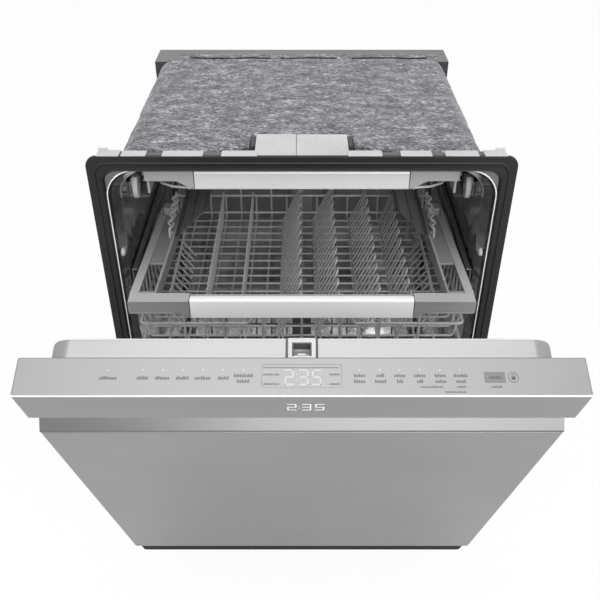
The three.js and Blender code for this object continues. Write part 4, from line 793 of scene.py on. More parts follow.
def on_top(x0, y0, x1, y1):
    return block(x0, x1, y0, y1, DOOR_TOP - LENS_INK_FOOT, DOOR_TOP + INK, 0)


def on_front(x0, z0, x1, z1):
    return block(x0, x1, DOOR_FRONT - INK, DOOR_FRONT + 0.5, z0, z1, 0)


add_piece("top_digits", number(-18, -62.4, 9.4, 18, 1.5, on_top), DOOR, "door", PRINT_PALE)
add_piece("front_digits", number(-15.5, 812, 9.8, 17, 1.3, on_front), DOOR, "door", PRINT_LIT)
print("digits are 18 mm high on top and 17 mm on the front")

# %% [markdown]
# Under the console the sheet runs back into a pocket for the fingers: down a straight back wall, round a
# soft bend, and out again as a slope that ends in a rolled lip. It is a section drawn out across the whole
# door. Dark plates close the space behind it, and the pocket's own ends stay open.

# %% The pocket handle
POCKET_BACK, POCKET_BEND, POCKET_SHEET = -45, 766, 2.2


def bend_points(offset):
    """The pocket's section from the top of its back wall to its lip, moved back by an offset."""
    soft = [(POCKET_BACK + offset, CONSOLE_LOW - 0.4)]
    start, corner = (POCKET_BACK, POCKET_BEND + 7), (POCKET_BACK, POCKET_BEND)
    end = (-50.7, POCKET_BEND - 3.9)
    for t in spread(0, 1, 9):
        y, z = (a * (1 - t) ** 2 + b * 2 * t * (1 - t) + c * t * t for a, b, c in zip(start, corner, end))
        soft.append((y + offset * (1 - 0.42 * t), z - offset * 0.8 * t))
    return soft


lip = [(-73.6, 746.4), (-74.6, 745.4), (-75, 744.2), (-74.8, 743), (-74.2, 742.4), (-72.2, 742.4)]
# The pocket's sheet takes the darker copy of the door steel, painted shade.
scoop = prism(bend_points(0) + lip + bend_points(POCKET_SHEET)[::-1], "x", -DOOR_HALF, DOOR_HALF, 0.25, 1)
add_piece("pocket_scoop", scoop, DOOR, "door", SCOOP_PAINTED_SHADE, "pocket_handle")
behind = [(y + 0.6, z) for y, z in bend_points(POCKET_SHEET)]
behind += [(-71, 742.6), (SHELL_REAR, 742.6), (SHELL_REAR, CONSOLE_LOW - 0.4)]
plates = [prism(behind, "x", side * 298.5, side * 301.2, 0.3, 1) for _, side in SIDES]
add_piece("pocket_end_plates", together(*plates), DOOR, "door", BLACK)
print("the pocket is", POCKET_BACK - DOOR_FRONT, "mm deep")

# %% [markdown]
# The inner liner is a drawn pan of bright steel. It bulges towards the tub with a raised rim 12 mm wide,
# and a raised field in its middle keeps the sheet from drumming. Rings with finer corners than the
# drawing's give the bulge, and the seats for the latch and the dispenser are cut out of it.

# %% The inner liner
LINER_HALF, LINER_LOW, LINER_TOP, LINER_REAR, LINER_EDGE, LINER_CORNER = 273, 128, 848.5, -9.4, 4, 24
RIM_REAR, RIM_WIDTH, LINER_SHEET = -5.9, 12, 1.2


def liner_rings(inset):
    """Rings from the shell to the middle field, `inset` mm inside the sheet's outer face."""
    rear, field = RIM_REAR - inset, LINER_REAR - inset
    rings = [(SHELL_REAR + 0.2, 0), (rear - LINER_EDGE, 0)]
    rings += [(rear - LINER_EDGE * (1 - math.sin(t)), LINER_EDGE * (1 - math.cos(t)))
              for t in (math.pi / 2 * i / 5 for i in range(1, 6))]
    rings += [(rear, RIM_WIDTH - 2 * inset), (field, RIM_WIDTH - 2 * inset + rear - field),
              (field, 34), (field - 2.2, 38), (field - 2.2, 96), (field, 101)]
    outlines = []
    for y, draw in rings:
        corner = max(6, LINER_CORNER - inset - draw * 0.4)
        outlines.append(flat_ring(rounded(LINER_HALF - inset - draw, LINER_LOW + inset + draw,
                                          LINER_TOP - inset - draw, corner, corner, 8), y))
    return outlines


def liner_highlight_face(face):
    """The thin rounding along the rim's far edge gets the near-white finish, a painted highlight."""
    high = face.calc_center_median().z > LINER_TOP - 5
    return 1 if high and face.normal.z > 0.2 and face.normal.y > 0.25 else 0


liner = skin(liner_rings(0)[::-1] + liner_rings(LINER_SHEET))
latch_seat = block(-17.4, 17.4, -34, 2, LINER_TOP - 23.4, LINER_TOP + 4, 0)
dispenser_seat = block(-125, 39, -34, 4, 405, 555, 0)
add_piece("liner", carved(liner, latch_seat, dispenser_seat), DOOR, "door",
          [BRIGHT, PAINTED_HIGHLIGHT], "door_inner_liner", choose=liner_highlight_face)
print("the liner is", 2 * LINER_HALF, "mm wide")

# %% [markdown]
# The latch housing is a pale cup in the liner's top edge, with a dark steel pawl in it. The dispenser below
# it has a frame, a sliding lid over the cup and a round cap over the rinse aid. These are moulded parts, so
# the drawing's solids are kept, their edges rounded, and ribs and finger marks added.

# %% Latch and dispenser
latch = carved(block(-15.2, 15.2, SHELL_REAR, RIM_REAR - 0.2, LINER_TOP - 23, LINER_TOP, 1.4, 3),
               block(-10.5, 10.5, LINER_REAR - 19, RIM_REAR - 6, LINER_TOP - 7, LINER_TOP + 4, 0),
               block(-10.5, 10.5, LINER_REAR - 15, RIM_REAR - 6, LINER_TOP - 17, LINER_TOP - 6, 0),
               block(-10.5, 10.5, LINER_REAR - 15, RIM_REAR + 4, LINER_TOP - 17, LINER_TOP - 3, 0))
ramp = prism([(LINER_REAR - 18.8, LINER_TOP - 6.8), (LINER_REAR - 15.2, LINER_TOP - 6.8),
              (LINER_REAR - 15.2, LINER_TOP - 4.6), (LINER_REAR - 18.8, LINER_TOP - 3)], "x", -8, 8, 0.3)
add_piece("latch_cup", together(latch, ramp), DOOR, "door", PALE, "latch_housing")
# Dark grey sheets line the cup's openings and fill the gap between cup and liner: painted shade in the
# latch's throat.
cheeks = both_sides(15.4, 17, SHELL_REAR + 0.2, RIM_REAR - 0.6, LINER_TOP - 22.6, LINER_TOP - 0.5, 0.3, 1)
walls = both_sides(9.1, 10.3, LINER_REAR - 18.8, RIM_REAR - 6.2, LINER_TOP - 6.8, LINER_TOP - 1.2, 0.2, 1)
walls += both_sides(9.1, 10.3, LINER_REAR - 14.8, RIM_REAR - 0.6, LINER_TOP - 16.8, LINER_TOP - 7, 0.2, 1)
walls.append(block(-9.1, 9.1, RIM_REAR - 6.9, RIM_REAR - 6.1, LINER_TOP - 16, LINER_TOP - 1.2, 0.2, 1))
add_piece("latch_throat_painted_shade", together(*cheeks, *walls), DOOR, "door", DARK_GREY)
add_piece("latch_hook", drawn("latch_pawl", 0.7), STILL, "latch_pawl", ZINC, "latch_pawl")

FACE, CAP_X, CAP_Z, CAP_RIM = -6.4, -94, 480, 13.4
ribs = [block(-121, -67, FACE - 0.1, FACE + 0.5, z - 0.8, z + 0.8, 0.3, 1)
        for z in (418, 424, 430, 530, 536, 542)]
housing = together(drawn("dispenser_housing", 0.9), placed(together(*ribs), DOOR))
add_piece("dispenser_frame", housing, STILL, "door", GREY, "dispenser_housing")
ridges = [block(-48, 20, FACE + 3.7, FACE + 4.1, z - 1, z + 1, 0.3, 1) for z in spread(442, 520, 9)]
lid = together(drawn("dispenser_lid", 0.9), placed(together(*ridges), DOOR))
add_piece("dispenser_slide", lid, STILL, "dispenser_lid", PALE, "dispenser_lid")
grips = []
for t in around(20):
    x, z = CAP_X + CAP_RIM * math.cos(t), CAP_Z + CAP_RIM * math.sin(t)
    grips.append(block(x - 0.7, x + 0.7, FACE + 3.2, FACE + 4.6, z - 0.7, z + 0.7, 0.2, 1))
add_piece("rinse_cap", together(drawn("rinse_aid_cap", 0.5), placed(together(*grips), DOOR)), STILL,
          "rinse_aid_cap", BLACK, "rinse_aid_cap")
print("the housing, lid and cap of the dispenser are in place")

# %% [markdown]
# Two steel arms carry the door on its hinge pins, and a dark strip closes its foot. The arms are pressed
# plates, so a raised bead along each one keeps it stiff.

# %% Hinge arms and the foot strip
for name, side in SIDES:
    bead = block(side * 283.4, side * 284.7, -26, -20, 160, 300, 0.6)
    add_piece(f"arm_{name}", together(drawn(f"hinge_arm_{name}", 0.6), placed(bead, DOOR)), STILL, "door",
              ZINC, f"hinge_arm_{name}")
strip = prism(rounded(292, 113.7, 149.5, 7, 1, 5), "y", -73.8, -40.2, 0.8, 2)
add_piece("foot_strip", strip, DOOR, "door", STRIP_FACE, "door_bottom_strip")

# %% [markdown]
# ## The cabinet
# The tub is drawn from one sheet: a flat flange, a flare at the mouth, long walls with pressed beads, and a
# rounded back. One skin runs from the back wall's inside out to the flange and back along the outside, so
# the sheet has its true thickness. The beads are moved points, so the walls are cut fine enough to carry
# them.

# %% The tub
TUB_HALF, TUB_LOW, TUB_TOP, TUB_DEPTH, TUB_SHEET = 266, 128, 806, 486.5, 1.5
OPENING_HALF, OPENING_LOW, OPENING_TOP = 273.5, 122, 827
FLANGE_FACE, MOUTH_DEPTH, TUB_CORNER, BACK_BEND = 4, 44, 42, 18
SIDE_BEADS = ((58, 8), (88, 5), (360, 9), (430, 9))
ROOF_BEADS = (150, 250, 350, 430)


def tub_ring(y, out, flare=0.0, draw=0.0):
    """A ring of the tub, `out` mm outside its inner face; flare goes from 0 on the wall to 1 at the mouth."""
    half, low, top, foot = (wall + (mouth - wall) * flare for wall, mouth in (
        (TUB_HALF, OPENING_HALF), (TUB_LOW, OPENING_LOW), (TUB_TOP, OPENING_TOP), (12, 14)))
    return flat_ring(rounded(half + out - draw, low - out + draw, top + out - draw,
                             foot + out, TUB_CORNER + out, 9, 24), y)


def tub_wall(out):
    """Rings from the back wall to the mouth."""
    rear = TUB_DEPTH + out
    rings = [tub_ring(rear - BACK_BEND * (1 - math.cos(t)), out, 0, BACK_BEND * (1 - math.sin(t)))
             for t in (math.pi / 2 * i / 6 for i in range(7))]
    rings += [tub_ring(y, out) for y in spread(rear - 30, MOUTH_DEPTH + 4, 40)]
    for i in range(1, 13):
        sheet = TUB_SHEET if out and i == 12 else 0
        y = MOUTH_DEPTH - (MOUTH_DEPTH - FLANGE_FACE) * i / 12 + sheet
        rings.append(tub_ring(y, out, i / 12))
    return rings


flange = [flat_ring(rounded(292, 105, 845, 11, 11, 9, 24), y) for y in (FLANGE_FACE, FLANGE_FACE + TUB_SHEET)]
tub = skin(tub_wall(0) + flange + tub_wall(TUB_SHEET)[::-1])
for corner in tub.verts:
    x, y, z = corner.co
    at_height = min(1.0, max(0.0, (z - 180) / 40), max(0.0, (740 - z) / 40))
    on_side = min(1.0, max(0.0, (abs(x) - 264) / 2)) * at_height
    for place, width in SIDE_BEADS:
        swell = math.exp(-((y - place) / width) ** 2)
        corner.co.x += math.copysign(1.2 * swell * on_side, x)
    on_roof = min(1.0, max(0.0, (z - 803) / 3)) * min(1.0, max(0.0, (210 - abs(x)) / 20))
    for place in ROOF_BEADS:
        corner.co.z += 1.3 * on_roof * math.exp(-((y - place) / 7) ** 2) * (abs(x) > 40)
tub = carved(tub, drum(91, 90, 150, "z", 0, 250, 0, 64))
add_piece("tub", tub, CABINET, "cabinet", [TUB, FLANGE], "tub_shell", 30,
          lambda face: 1 if face.calc_center_median().y < 14 else 0)
# A thin ring round the tub's mouth in the near-white finish is a painted highlight for the light line on the
# mouth's bent edge.
painted_mouth_highlight = skin([flat_ring(rounded(275.3 - draw, 120.2 + draw, 828.8 - draw, 14, 43 - draw, 9), y)
                   for draw, y in ((0, 3.8), (0, 3.2), (0.8, 2.6), (2, 2.6), (2.4, 3.4))], loop=True)
add_piece("painted_mouth_highlight", painted_mouth_highlight, CABINET, "cabinet", PAINTED_HIGHLIGHT)
print("the tub holds", round(2 * TUB_HALF * TUB_DEPTH * (TUB_TOP - TUB_LOW) / 1e6), "litres")

# %% [markdown]
# A black frame is clipped over the flange, and its two raised lips meet the door's liner. It is one section
# swept round the mouth: the fold over the flange's edge, the flat band, the small outer lip and the tall
# inner one.

# %% The sealing frame
ARC_STEP = math.pi / 6
SEAL_HALF, SEAL_LOW, SEAL_TOP, SEAL_WIDTH = 297, 100, 850, 21.5
section = [(0.3, 5), (0, 4.6), (0, 1)]
section += [(1 - math.cos(ARC_STEP * i), 1 - math.sin(ARC_STEP * i)) for i in (1, 2, 3)]
section += [(8.6, 0.1)]
section += [(10.5 - 1.7 * math.cos(ARC_STEP * i), -1.1 * math.sin(ARC_STEP * i)) for i in range(1, 6)]
section += [(12.4, 0.1), (15, 0.3), (18, 0.1)]
section += [(20 - 1.5 * math.cos(ARC_STEP * i), -0.4 - 2.5 * math.sin(ARC_STEP * i)) for i in range(7)]
section += [(SEAL_WIDTH, 3.4), (5, 3.6), (4.6, 4), (4.6, 5)]
rings = []
for draw, y in section:
    radius = 16 + 4 * draw / SEAL_WIDTH
    outline = rounded(SEAL_HALF - draw, SEAL_LOW + draw, SEAL_TOP - draw, radius, radius, 9, 4)
    rings.append(flat_ring(outline, y))
seal = skin(rings, loop=True)
add_piece("seal_frame", seal, CABINET, "cabinet", RUBBER_AND_SHADOW_BLACK, "gasket_frame")
print("the seal's section has", len(section), "points")

# %% [markdown]
# The felt blanket keeps the noise in. It is a sheet of pressed wool about 11 mm thick, laid over the tub
# from one side to the other, with a second piece on the back. Its front edge isn't cut straight: it sags
# towards a notch in the middle of the top. A grid of points across and back gives the sheet. Its points are
# moved a little in and out by noise, and the cut edge is drawn in at its corners, because felt is soft
# there.

# %% The felt blanket
FELT_HALF, FELT_TOP, FELT_LOW, FELT_CORNER, FELT_THICK = 279, 820, 150, 34, 11
FELT_FRONT, FELT_REAR, NOTCH_HALF, NOTCH_REAR = 84.6, 488, 79, 142


def felt_front(x):
    """How far back the blanket's front edge lies over x."""
    wave = 1.6 * math.sin(x / 17) + 1.1 * math.sin(x / 6.3 + 1)
    flap = min(1.0, max(0.0, (150 - abs(x)) / 64))
    if abs(x) <= NOTCH_HALF:
        return NOTCH_REAR
    return FELT_FRONT + 17.5 * flap * flap * (3 - 2 * flap) + wave * (0.3 + 0.7 * flap)


def felt_taper(y):
    """How much slimmer than its full half width the blanket is, y mm back."""
    return 1.4 + 4.9 * min(1.0, max(0.0, (y - 84) / 400))


def felt_line(out):
    """The blanket's section from the left foot over the top to the right, `out` mm inside its outer face."""
    half, top, radius = FELT_HALF - out, FELT_TOP - out, FELT_CORNER - out
    line = [(-half, z) for z in spread(FELT_LOW, top - radius, 60)]
    line += [(-half + radius - radius * math.cos(t), top - radius + radius * math.sin(t))
             for t in (math.pi / 2 * i / 12 for i in range(1, 12))]
    flat = sorted(spread(-half + radius, half - radius, 92) + [-79.4, -78.2, 78.2, 79.4])
    line += [(x, top) for x in flat]
    line += [(half - radius + radius * math.sin(t), top - radius + radius * math.cos(t))
             for t in (math.pi / 2 * i / 12 for i in range(1, 12))]
    line += [(half, z) for z in spread(top - radius, FELT_LOW, 60)]
    return line


def felt_point(outer, inner, share, back):
    """A point of the sheet: share 0 is its outer face and 1 its inner one; back runs from the front edge."""
    front = felt_front(outer[0]) if outer[1] > FELT_TOP - 1 else FELT_FRONT
    y = front + (FELT_REAR - front) * back
    waist = 1 - felt_taper(y) / FELT_HALF
    outer = (outer[0] * waist, outer[1])
    x, z = outer[0] + (inner[0] - outer[0]) * share, outer[1] + (inner[1] - outer[1]) * share
    rough = noise.noise(Vector((x, y, z)) / 9) * 1.1 + noise.noise(Vector((x, y, z)) / 34) * 1.4
    near_edge = max(0.0, 1 - (y - front) / 7)
    pull = (rough - 1.5 - 2.6 * near_edge ** 2) * (1 - share) if share < 0.5 else 0
    inward = Vector((inner[0] - outer[0], 0, inner[1] - outer[1])).normalized()
    return Vector((x, y, z)) - inward * pull


def felt_row(share, back):
    """The points over the whole section at one share of the thickness and one depth."""
    pairs = zip(felt_line(0), felt_line(FELT_THICK))
    return [felt_point(outer, inner, share, back) for outer, inner in pairs]


def sheet_of(rows):
    """A thin sheet over rows of points that go back along one face and return along the other."""
    sheet = skin(rows, loop=True, open_rings=True)
    bmesh.ops.holes_fill(sheet, edges=[e for e in sheet.edges if len(e.link_faces) == 1], sides=0)
    bmesh.ops.recalc_face_normals(sheet, faces=sheet.faces)
    return sheet


BACKS = [0.0, 0.006, 0.014, 0.03] + spread(0.05, 0.93, 52) + [0.955, 0.98, 1.0]
felt_rows = [felt_row(0.0, back) for back in BACKS] + [felt_row(1.0, back) for back in (1.0, 0.5, 0.03, 0.0)]
wrap = add_piece("felt_wrap", sheet_of(felt_rows), CABINET, "cabinet", FELT, "felt_blanket", 50)

BACK_HALF = FELT_HALF - 6.5
back_rows = []
for y, draw in ((488.4, 12), (488.4, 4), (490, 1.5), (493, 0.5), (495.4, 2), (496.6, 6)):
    back_rows.append(flat_ring(rounded(BACK_HALF - draw, FELT_LOW + draw, FELT_TOP - 2 - draw, 8,
                                       FELT_CORNER - draw, 9, 30), y))
back_sheet = skin(back_rows)
for corner in back_sheet.verts:
    if corner.co.y > 489:
        corner.co.y -= 1.2 * abs(noise.noise(corner.co / 12))
back_sheet = add_piece("felt_back", back_sheet, CABINET, "cabinet", FELT, sharp=50)
print("the blanket's front edge lies", round(felt_front(200), 1), "to", round(felt_front(85), 1), "mm back")

# %% [markdown]
# In the notch lies a pale bare plate in two leaves with a seam between them, held by a dark clip at each
# side. Dark rails behind the flange, with pale pads and tabs on them, hold the tub to the worktop.

# %% Plate, clips and front brackets
leaves = [block(-69, -8.2, 50.4, 138.6, 808.4, 821.9, 1.2, 3),
          block(-7.8, 69, 50.4, 138.6, 808.4, 821.5, 1.2, 3),
          block(-69, 69, 50.4, 52.4, 808.2, 818, 0.5)]
add_piece("plate_leaves", together(*leaves), CABINET, "cabinet", LABEL, "blank_plate")
clips = both_sides(69.6, 77, 104, 136, 808, 817.6, 1.4) + both_sides(69.4, 74, 88, 141, 808, 812, 0.8)
add_piece("plate_clips", together(*clips), CABINET, "cabinet", BLACK)
PADS = {"left": ((61, 110), (135, 191), (213, 247)), "right": ((63, 110), (135, 178), (196, 242))}
for name, side in SIDES:
    hooks = [block(side * at, side * (at + 9), 16, 24, 838, 847, 0.7, 2) for at in (84, 124, 184, 246)]
    rail = [block(side * 64, side * 281, 6.2, 17, 842.2, 848.6, 0.6),
            block(side * 64, side * 281, 26, 30, 829.2, 842, 0.6),
            block(side * 66, side * 279, 16, 28, 840.4, 842.6, 0.5)]
    add_piece(f"bracket_rail_{name}", together(*rail, *hooks), CABINET, "cabinet",
              DARK_GREY, f"front_bracket_{name}")
    pads = [block(side * start, side * end, 5.4, 17.4, 847, 851.4, 0.8, 2) for start, end in PADS[name]]
    lids = [block(side * start, side * end, 0.8, 6.4, 850.05, 851.4, 0.5, 2) for start, end in PADS[name]]
    tab = [block(side * 268, side * 281, 20, 23, 842.2, 853, 0.6),
           block(side * 250, side * 281, 5.4, 21, 846, 850.6, 0.8),
           block(side * 250, side * 281, 0.8, 6.4, 850.05, 850.9, 0.4)]
    add_piece(f"worktop_bracket_{name}", together(*pads, *lids, *tab), CABINET, "cabinet",
              PALE)

# %% [markdown]
# A dark steel frame stands behind the tub. Its section is a channel that is open to the back. A strip of
# the same felt lies on its beam, behind a thin dark wire along the blanket's rear edge, a painted shadow
# for the crevice where the blanket ends. Under the tub sits a black base with the toe panel, the screw
# feet and the works.

# %% Rear frame, base and feet
beam = placed(drawn("rear_frame", 0.8), CABINET.inverted())
add_piece("rear_arch", beam, CABINET, "cabinet", [IRON, IRON_FRONT], "rear_frame",
          choose=lambda face: 1 if abs(face.normal.y) > 0.5 else 0)
tape_rows = []
for y, z, ripple in ((506, 809.4, 0.6), (506, 810.6, 0.6), (541, 810.6, 1), (541, 809.4, 1)):
    tape_rows.append([(x, y + (1.8 * math.sin(x / 13) + 1.2 * math.sin(x / 5.1)) * ripple, z)
                      for x in spread(-236, 262, 90)])
add_piece("arch_tape", sheet_of(tape_rows), CABINET, "cabinet", FELT)
# A dark wire along the blanket's rear edge is a painted shadow in the crevice there.
crevice_shadow_lines = [[(x, 494.4 + 1.5 * math.sin(x / 19), 818.6 + 0.5 * math.sin(x / 9)) for x in spread(start, end, 16)]
          for start, end in ((-212, -60), (-40, 66), (96, 238))]
add_piece("felt_edge_painted_shadow", wires(crevice_shadow_lines, 1.5, 2, 6), CABINET, "cabinet", RUBBER_AND_SHADOW_BLACK)
for node, name, edge, paint, slot in (
        ("base_pan", "base", 1.5, BLACK, "dark_plastic"),
        ("toe_panel", "toe_board", 1.2, BLACK, "dark_plastic"),
        ("hinge_bracket_left", "hinge_plate_left", 0.5, ZINC, "dark_steel"),
        ("hinge_bracket_right", "hinge_plate_right", 0.5, ZINC, "dark_steel")):
    add_piece(name, drawn(node, edge), STILL, "cabinet", paint, node)
for node in ("foot_front_left", "foot_front_right", "foot_rear_left", "foot_rear_right"):
    low, high = (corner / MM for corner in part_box(node))
    x, y = (low.x + high.x) / 2, (low.y + high.y) / 2
    profile = [(0, 0), (16.6, 0), (18, 1.2), (18, 3.4), (16, 4.6), (9, 7), (8.4, 8)]
    for turn in range(12):
        profile += [(5.9, 9 + turn * 2.4), (5, 10.2 + turn * 2.4)]
    profile += [(5.6, high.z - 1), (4.8, high.z), (0, high.z)]
    foot = together(lathe(profile, x, y, 32), drum(10, 9, 14, "z", x, y, 0.6, 6))
    add_piece("screw_" + node, foot, IN_METRES, "cabinet", ZINC, node)

# %% [markdown]
# A coil spring on each side balances the door. The drawing has only its outer shape, so here it gets its
# wire: a helix of 43 turns that ends in two hooks.

# %% Door springs
def coil(low, high, radius, wire_radius, turns):
    """A spring along y between two places, with a straight hook at each end."""
    middle = (low + high) / 2
    first, last = low.y + 22, high.y - 22
    path = [Vector((middle.x, low.y + 1, middle.z)), Vector((middle.x, first - 4, middle.z))]
    steps = turns * 12
    for step in range(steps + 1):
        angle = 2 * math.pi * step / 12
        path.append(Vector((middle.x + radius * math.cos(angle), first + (last - first) * step / steps,
                            middle.z + radius * math.sin(angle))))
    path += [Vector((middle.x, last + 4, middle.z)), Vector((middle.x, high.y - 1, middle.z))]
    return wires([path], wire_radius, 2, 6)


for name, side in SIDES:
    low, high = (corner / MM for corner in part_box(f"door_spring_{name}"))
    spring = coil(low, high, radius=7.3, wire_radius=1.5, turns=43)
    add_piece(f"coil_{name}", spring, IN_METRES, "cabinet", ZINC, f"door_spring_{name}")
print("each spring is", round(high.y - low.y), "mm long")

# %% [markdown]
# Under the tub's floor are the sump with its filters, the wash motor, the drain pump and the water valve.
# The drawing's solids are kept with eased edges, and cooling fins, a clamp ring and filter bars are added.

# %% Sump, filters, motor, pump and valve
add_piece("sump_bowl", drawn("sump", 1.2), STILL, "cabinet", BLACK, "sump")
holes = []
for ring, count in ((74, 40), (64, 34), (54, 28)):
    for turn in around(count):
        x, y = ring * math.cos(turn), 250 + ring * math.sin(turn)
        if math.hypot(x - 48, y - 220) > 36:
            holes.append(drum(2.1, 120, 132, "z", x, y, 0, 8))
screen = carved(placed(drawn("filter_plate", 0.2), CABINET.inverted()), together(*holes))
add_piece("filter_screen", screen, CABINET, "cabinet", BRIGHT, "filter_plate")
bars = [placed(block(-0.7, 0.7, 29.2, 30.4, 80, 138, 0.2, 1),
               Matrix.Translation((48, 220, 0)) @ Matrix.Rotation(turn, 4, "Z")) for turn in around(20)]
cup = together(drawn("filter_cup", 0.6), placed(together(*bars), CABINET))
add_piece("filter_basket", cup, STILL, "cabinet", GREY, "filter_cup")
fins = [drum(44.4, y, y + 1.6, "y", 0, 70, 0.3, 40) for y in spread(78, 136, 13)]
motor = together(drawn("wash_motor", 1.2), placed(together(*fins), CABINET))
add_piece("motor", motor, STILL, "cabinet", IRON, "wash_motor")
pump = together(drawn("drain_pump", 1.2), placed(drum(28.3, -150, -144, "x", 250, 56, 0.5, 32), CABINET))
add_piece("pump", pump, STILL, "cabinet", BLACK, "drain_pump")
add_piece("water_valve", drawn("inlet_valve", 1.2), STILL, "cabinet", PALE, "inlet_valve")
add_piece("riser_duct", drawn("feed_duct", 1.4, 3), STILL, "cabinet", GREY, "feed_duct")
print(len(holes), "holes in the filter's screen")

# %% [markdown]
# ## Rails and racks
# The upper rails are fixed to the tub's walls. Each ends at the front in a pale stop, a rounded lobe with a
# heel behind it, which keeps the rack from running off. Under them a pale button on each wall marks where
# the tub's bumper sits.

# %% Rails, stops and bumpers
for name, side in SIDES:
    rail = [block(side * 248.8, side * 265.4, 97, 461.6, low, low + 4.2, 0.8) for low in (738.2, 757.6)]
    rail.append(block(side * 262.6, side * 265.5, 96.4, 461.8, 738.2, 761.8, 0.6))
    add_piece(f"upper_rail_{name}", together(*rail), CABINET, "cabinet", ZINC,
              f"third_rail_{name}")
    lobe = [(91 - (9.4 - 2.9 * math.sin(turn)) * math.cos(turn), 756 + 17.6 * math.sin(turn))
            for turn in around(40)]
    stop = prism(lobe, "x", side * 249, side * 257, 1.8, 3)
    heel = block(side * 250, side * 262, 96, 112, 744, 768, 2.2, 3)
    add_piece(f"rail_stop_{name}", together(stop, heel), CABINET, "cabinet", PALE)
    rail = [block(side * 256.8, side * 265.5, 40.4, 461.6, low, low + 3, 0.6) for low in (637, 610.2)]
    rail.append(block(side * 263.2, side * 265.5, 40.2, 461.8, 610.2, 640, 0.5))
    add_piece(f"lower_rail_{name}", together(*rail), CABINET, "cabinet", ZINC,
              f"middle_rail_{name}")
    button = lathe([(0, 0), (6.4, 0), (6.4, 2), (5.6, 3.4), (4, 4.4), (2, 4.8), (0, 4.9)], 0, 0, 24)
    turn = Matrix.Translation((side * 268.6, 14, 688)) @ Matrix.Rotation(-side * math.pi / 2, 4, "Y")
    add_piece(f"bumper_{name}", placed(button, turn), CABINET, "cabinet", PALE)

# %% [markdown]
# Both upper racks have a silver bar to pull, between two grey ends. The bar is a drawn section with a
# rolled top edge, and its faces that look up get a finish of their own, a painted highlight. Each end is a
# shallow shell whose lower edge sweeps down in one curve to the bar. A thin dark seam stands between
# them, where the two parts meet.

# %% Handle bars and rack fronts
BAR_HALF, BAR_THICK, SEAM = 158.5, 10.6, 1.4


def bar(front, top, height):
    """A handle bar's section, drawn out from side to side."""
    rear, low = front + BAR_THICK, top - height
    outline = [(front + 0.9, low + 0.8), (front, low + 2.2), (front, top - 4.4)]
    outline += [(front + 3.6 - 3.6 * math.cos(ARC_STEP * i), top - 3.8 + 3.6 * math.sin(ARC_STEP * i))
                for i in (1, 2, 3)]
    outline += [(rear - 1, top - 0.1), (rear, top - 1), (rear, low + 0.8), (rear - 0.8, low)]
    outline += [(front + 2.4, low)]
    return prism(outline, "x", -BAR_HALF, BAR_HALF, 0.35, 2, 60)


def bar_highlight_face(face):
    return 1 if face.normal.z > 0.35 and abs(face.normal.x) < 0.5 else 0


def rack_end(side, half, front, top, end_height, depth, bar_height):
    """One grey end: an outline seen from the front, drawn back, with a raised rim along its top."""
    inner, drop = BAR_HALF + SEAM, bar_height - end_height
    end_low = top - end_height
    outline = [(inner, top), (half - 3, top), (half - 0.9, top - 0.9), (half, top - 3),
               (half, end_low + 3), (half - 0.9, end_low + 0.9), (half - 3, end_low)]
    run = 2.3 * drop
    for t in spread(0, 1, 13):
        across = inner + run * (1 - t)
        down = drop * (t * t * (3 - 2 * t))
        outline.append((across, end_low - down))
    outline.append((inner, top - bar_height))
    body = prism([(side * x, z) for x, z in outline], "y", front + 2, front + depth, 0.9, 2, 20)
    lip = block(side * (inner + 1), side * (half - 2), front + 1.2, front + 3.4, top - 3.4, top - 0.6, 0.8)
    foot = block(side * (inner + 1.4 * drop + 14), side * (half - 4), front + 1.4, front + 3,
                 end_low + 0.8, end_low + 2.6, 0.6)
    return together(body, lip, foot)


def rack_front(half, front, top, end_height, depth, bar_height):
    """Both grey ends and the beam behind the bar that joins them."""
    beam = block(-BAR_HALF - 2, BAR_HALF + 2, front + BAR_THICK + 0.5, front + depth,
                 top - bar_height + 4, top - 2, 1.2)
    ends = [rack_end(side, half, front, top, end_height, depth, bar_height) for _, side in SIDES]
    return together(beam, *ends)


TOP_FRONT, TOP_HIGH, MIDDLE_FRONT = 61, 797, -84
add_piece("top_bar", bar(TOP_FRONT, TOP_HIGH, 30), CABINET, "third_rack", [BAR, BAR_TOP_HIGHLIGHT],
          "third_handle_bar", choose=bar_highlight_face)
walls = [block(-231, 231, 448.1, 451.9, 752.2, 771.8, 1.2)]
for _, side in SIDES:
    walls.append(block(side * 229.1, side * 232.9, 78, 120, 752.2, 794.6, 1))
    walls.append(block(side * 229.1, side * 233, 116, 451.8, 752.2, 771.8, 1))
    walls.append(block(side * 231, side * 248, 116.4, 451.6, 762, 771.8, 1.2))
    walls.append(block(side * 231, side * 248, 116.4, 451.6, 752.4, 755, 0.8))
top_front = together(rack_front(233, TOP_FRONT, TOP_HIGH, 17, 19, 30), *walls)
add_piece("top_rack_front", top_front, CABINET, "third_rack", LIGHT_GREY, "third_front")
# The middle bar wears the paler copy of the silver, painted light.
add_piece("middle_bar", bar(MIDDLE_FRONT, 670, 33), CABINET, "middle_rack",
          [MIDDLE_BAR_PAINTED_LIGHT, BAR_TOP_HIGHLIGHT], "middle_handle_bar", choose=bar_highlight_face)
for name, body, front, top in (("top", "third_rack", TOP_FRONT, TOP_HIGH),
                               ("middle", "middle_rack", MIDDLE_FRONT, 667)):
    seams = both_sides(BAR_HALF + 0.05, BAR_HALF + SEAM - 0.05, front + 2.6, front + 17, top - 28, top - 1, 0)
    add_piece(f"{name}_bar_seams", together(*seams), CABINET, body, BLACK)
print("bars are", 2 * BAR_HALF, "mm long")

# %% [markdown]
# The top rack is a shallow tray for knives and forks. Its wires run both ways, closer than in the drawing's
# collision model, so that cutlery lies on them. The rim is one wire bent wide round the tray's four
# corners, and the others end on it.

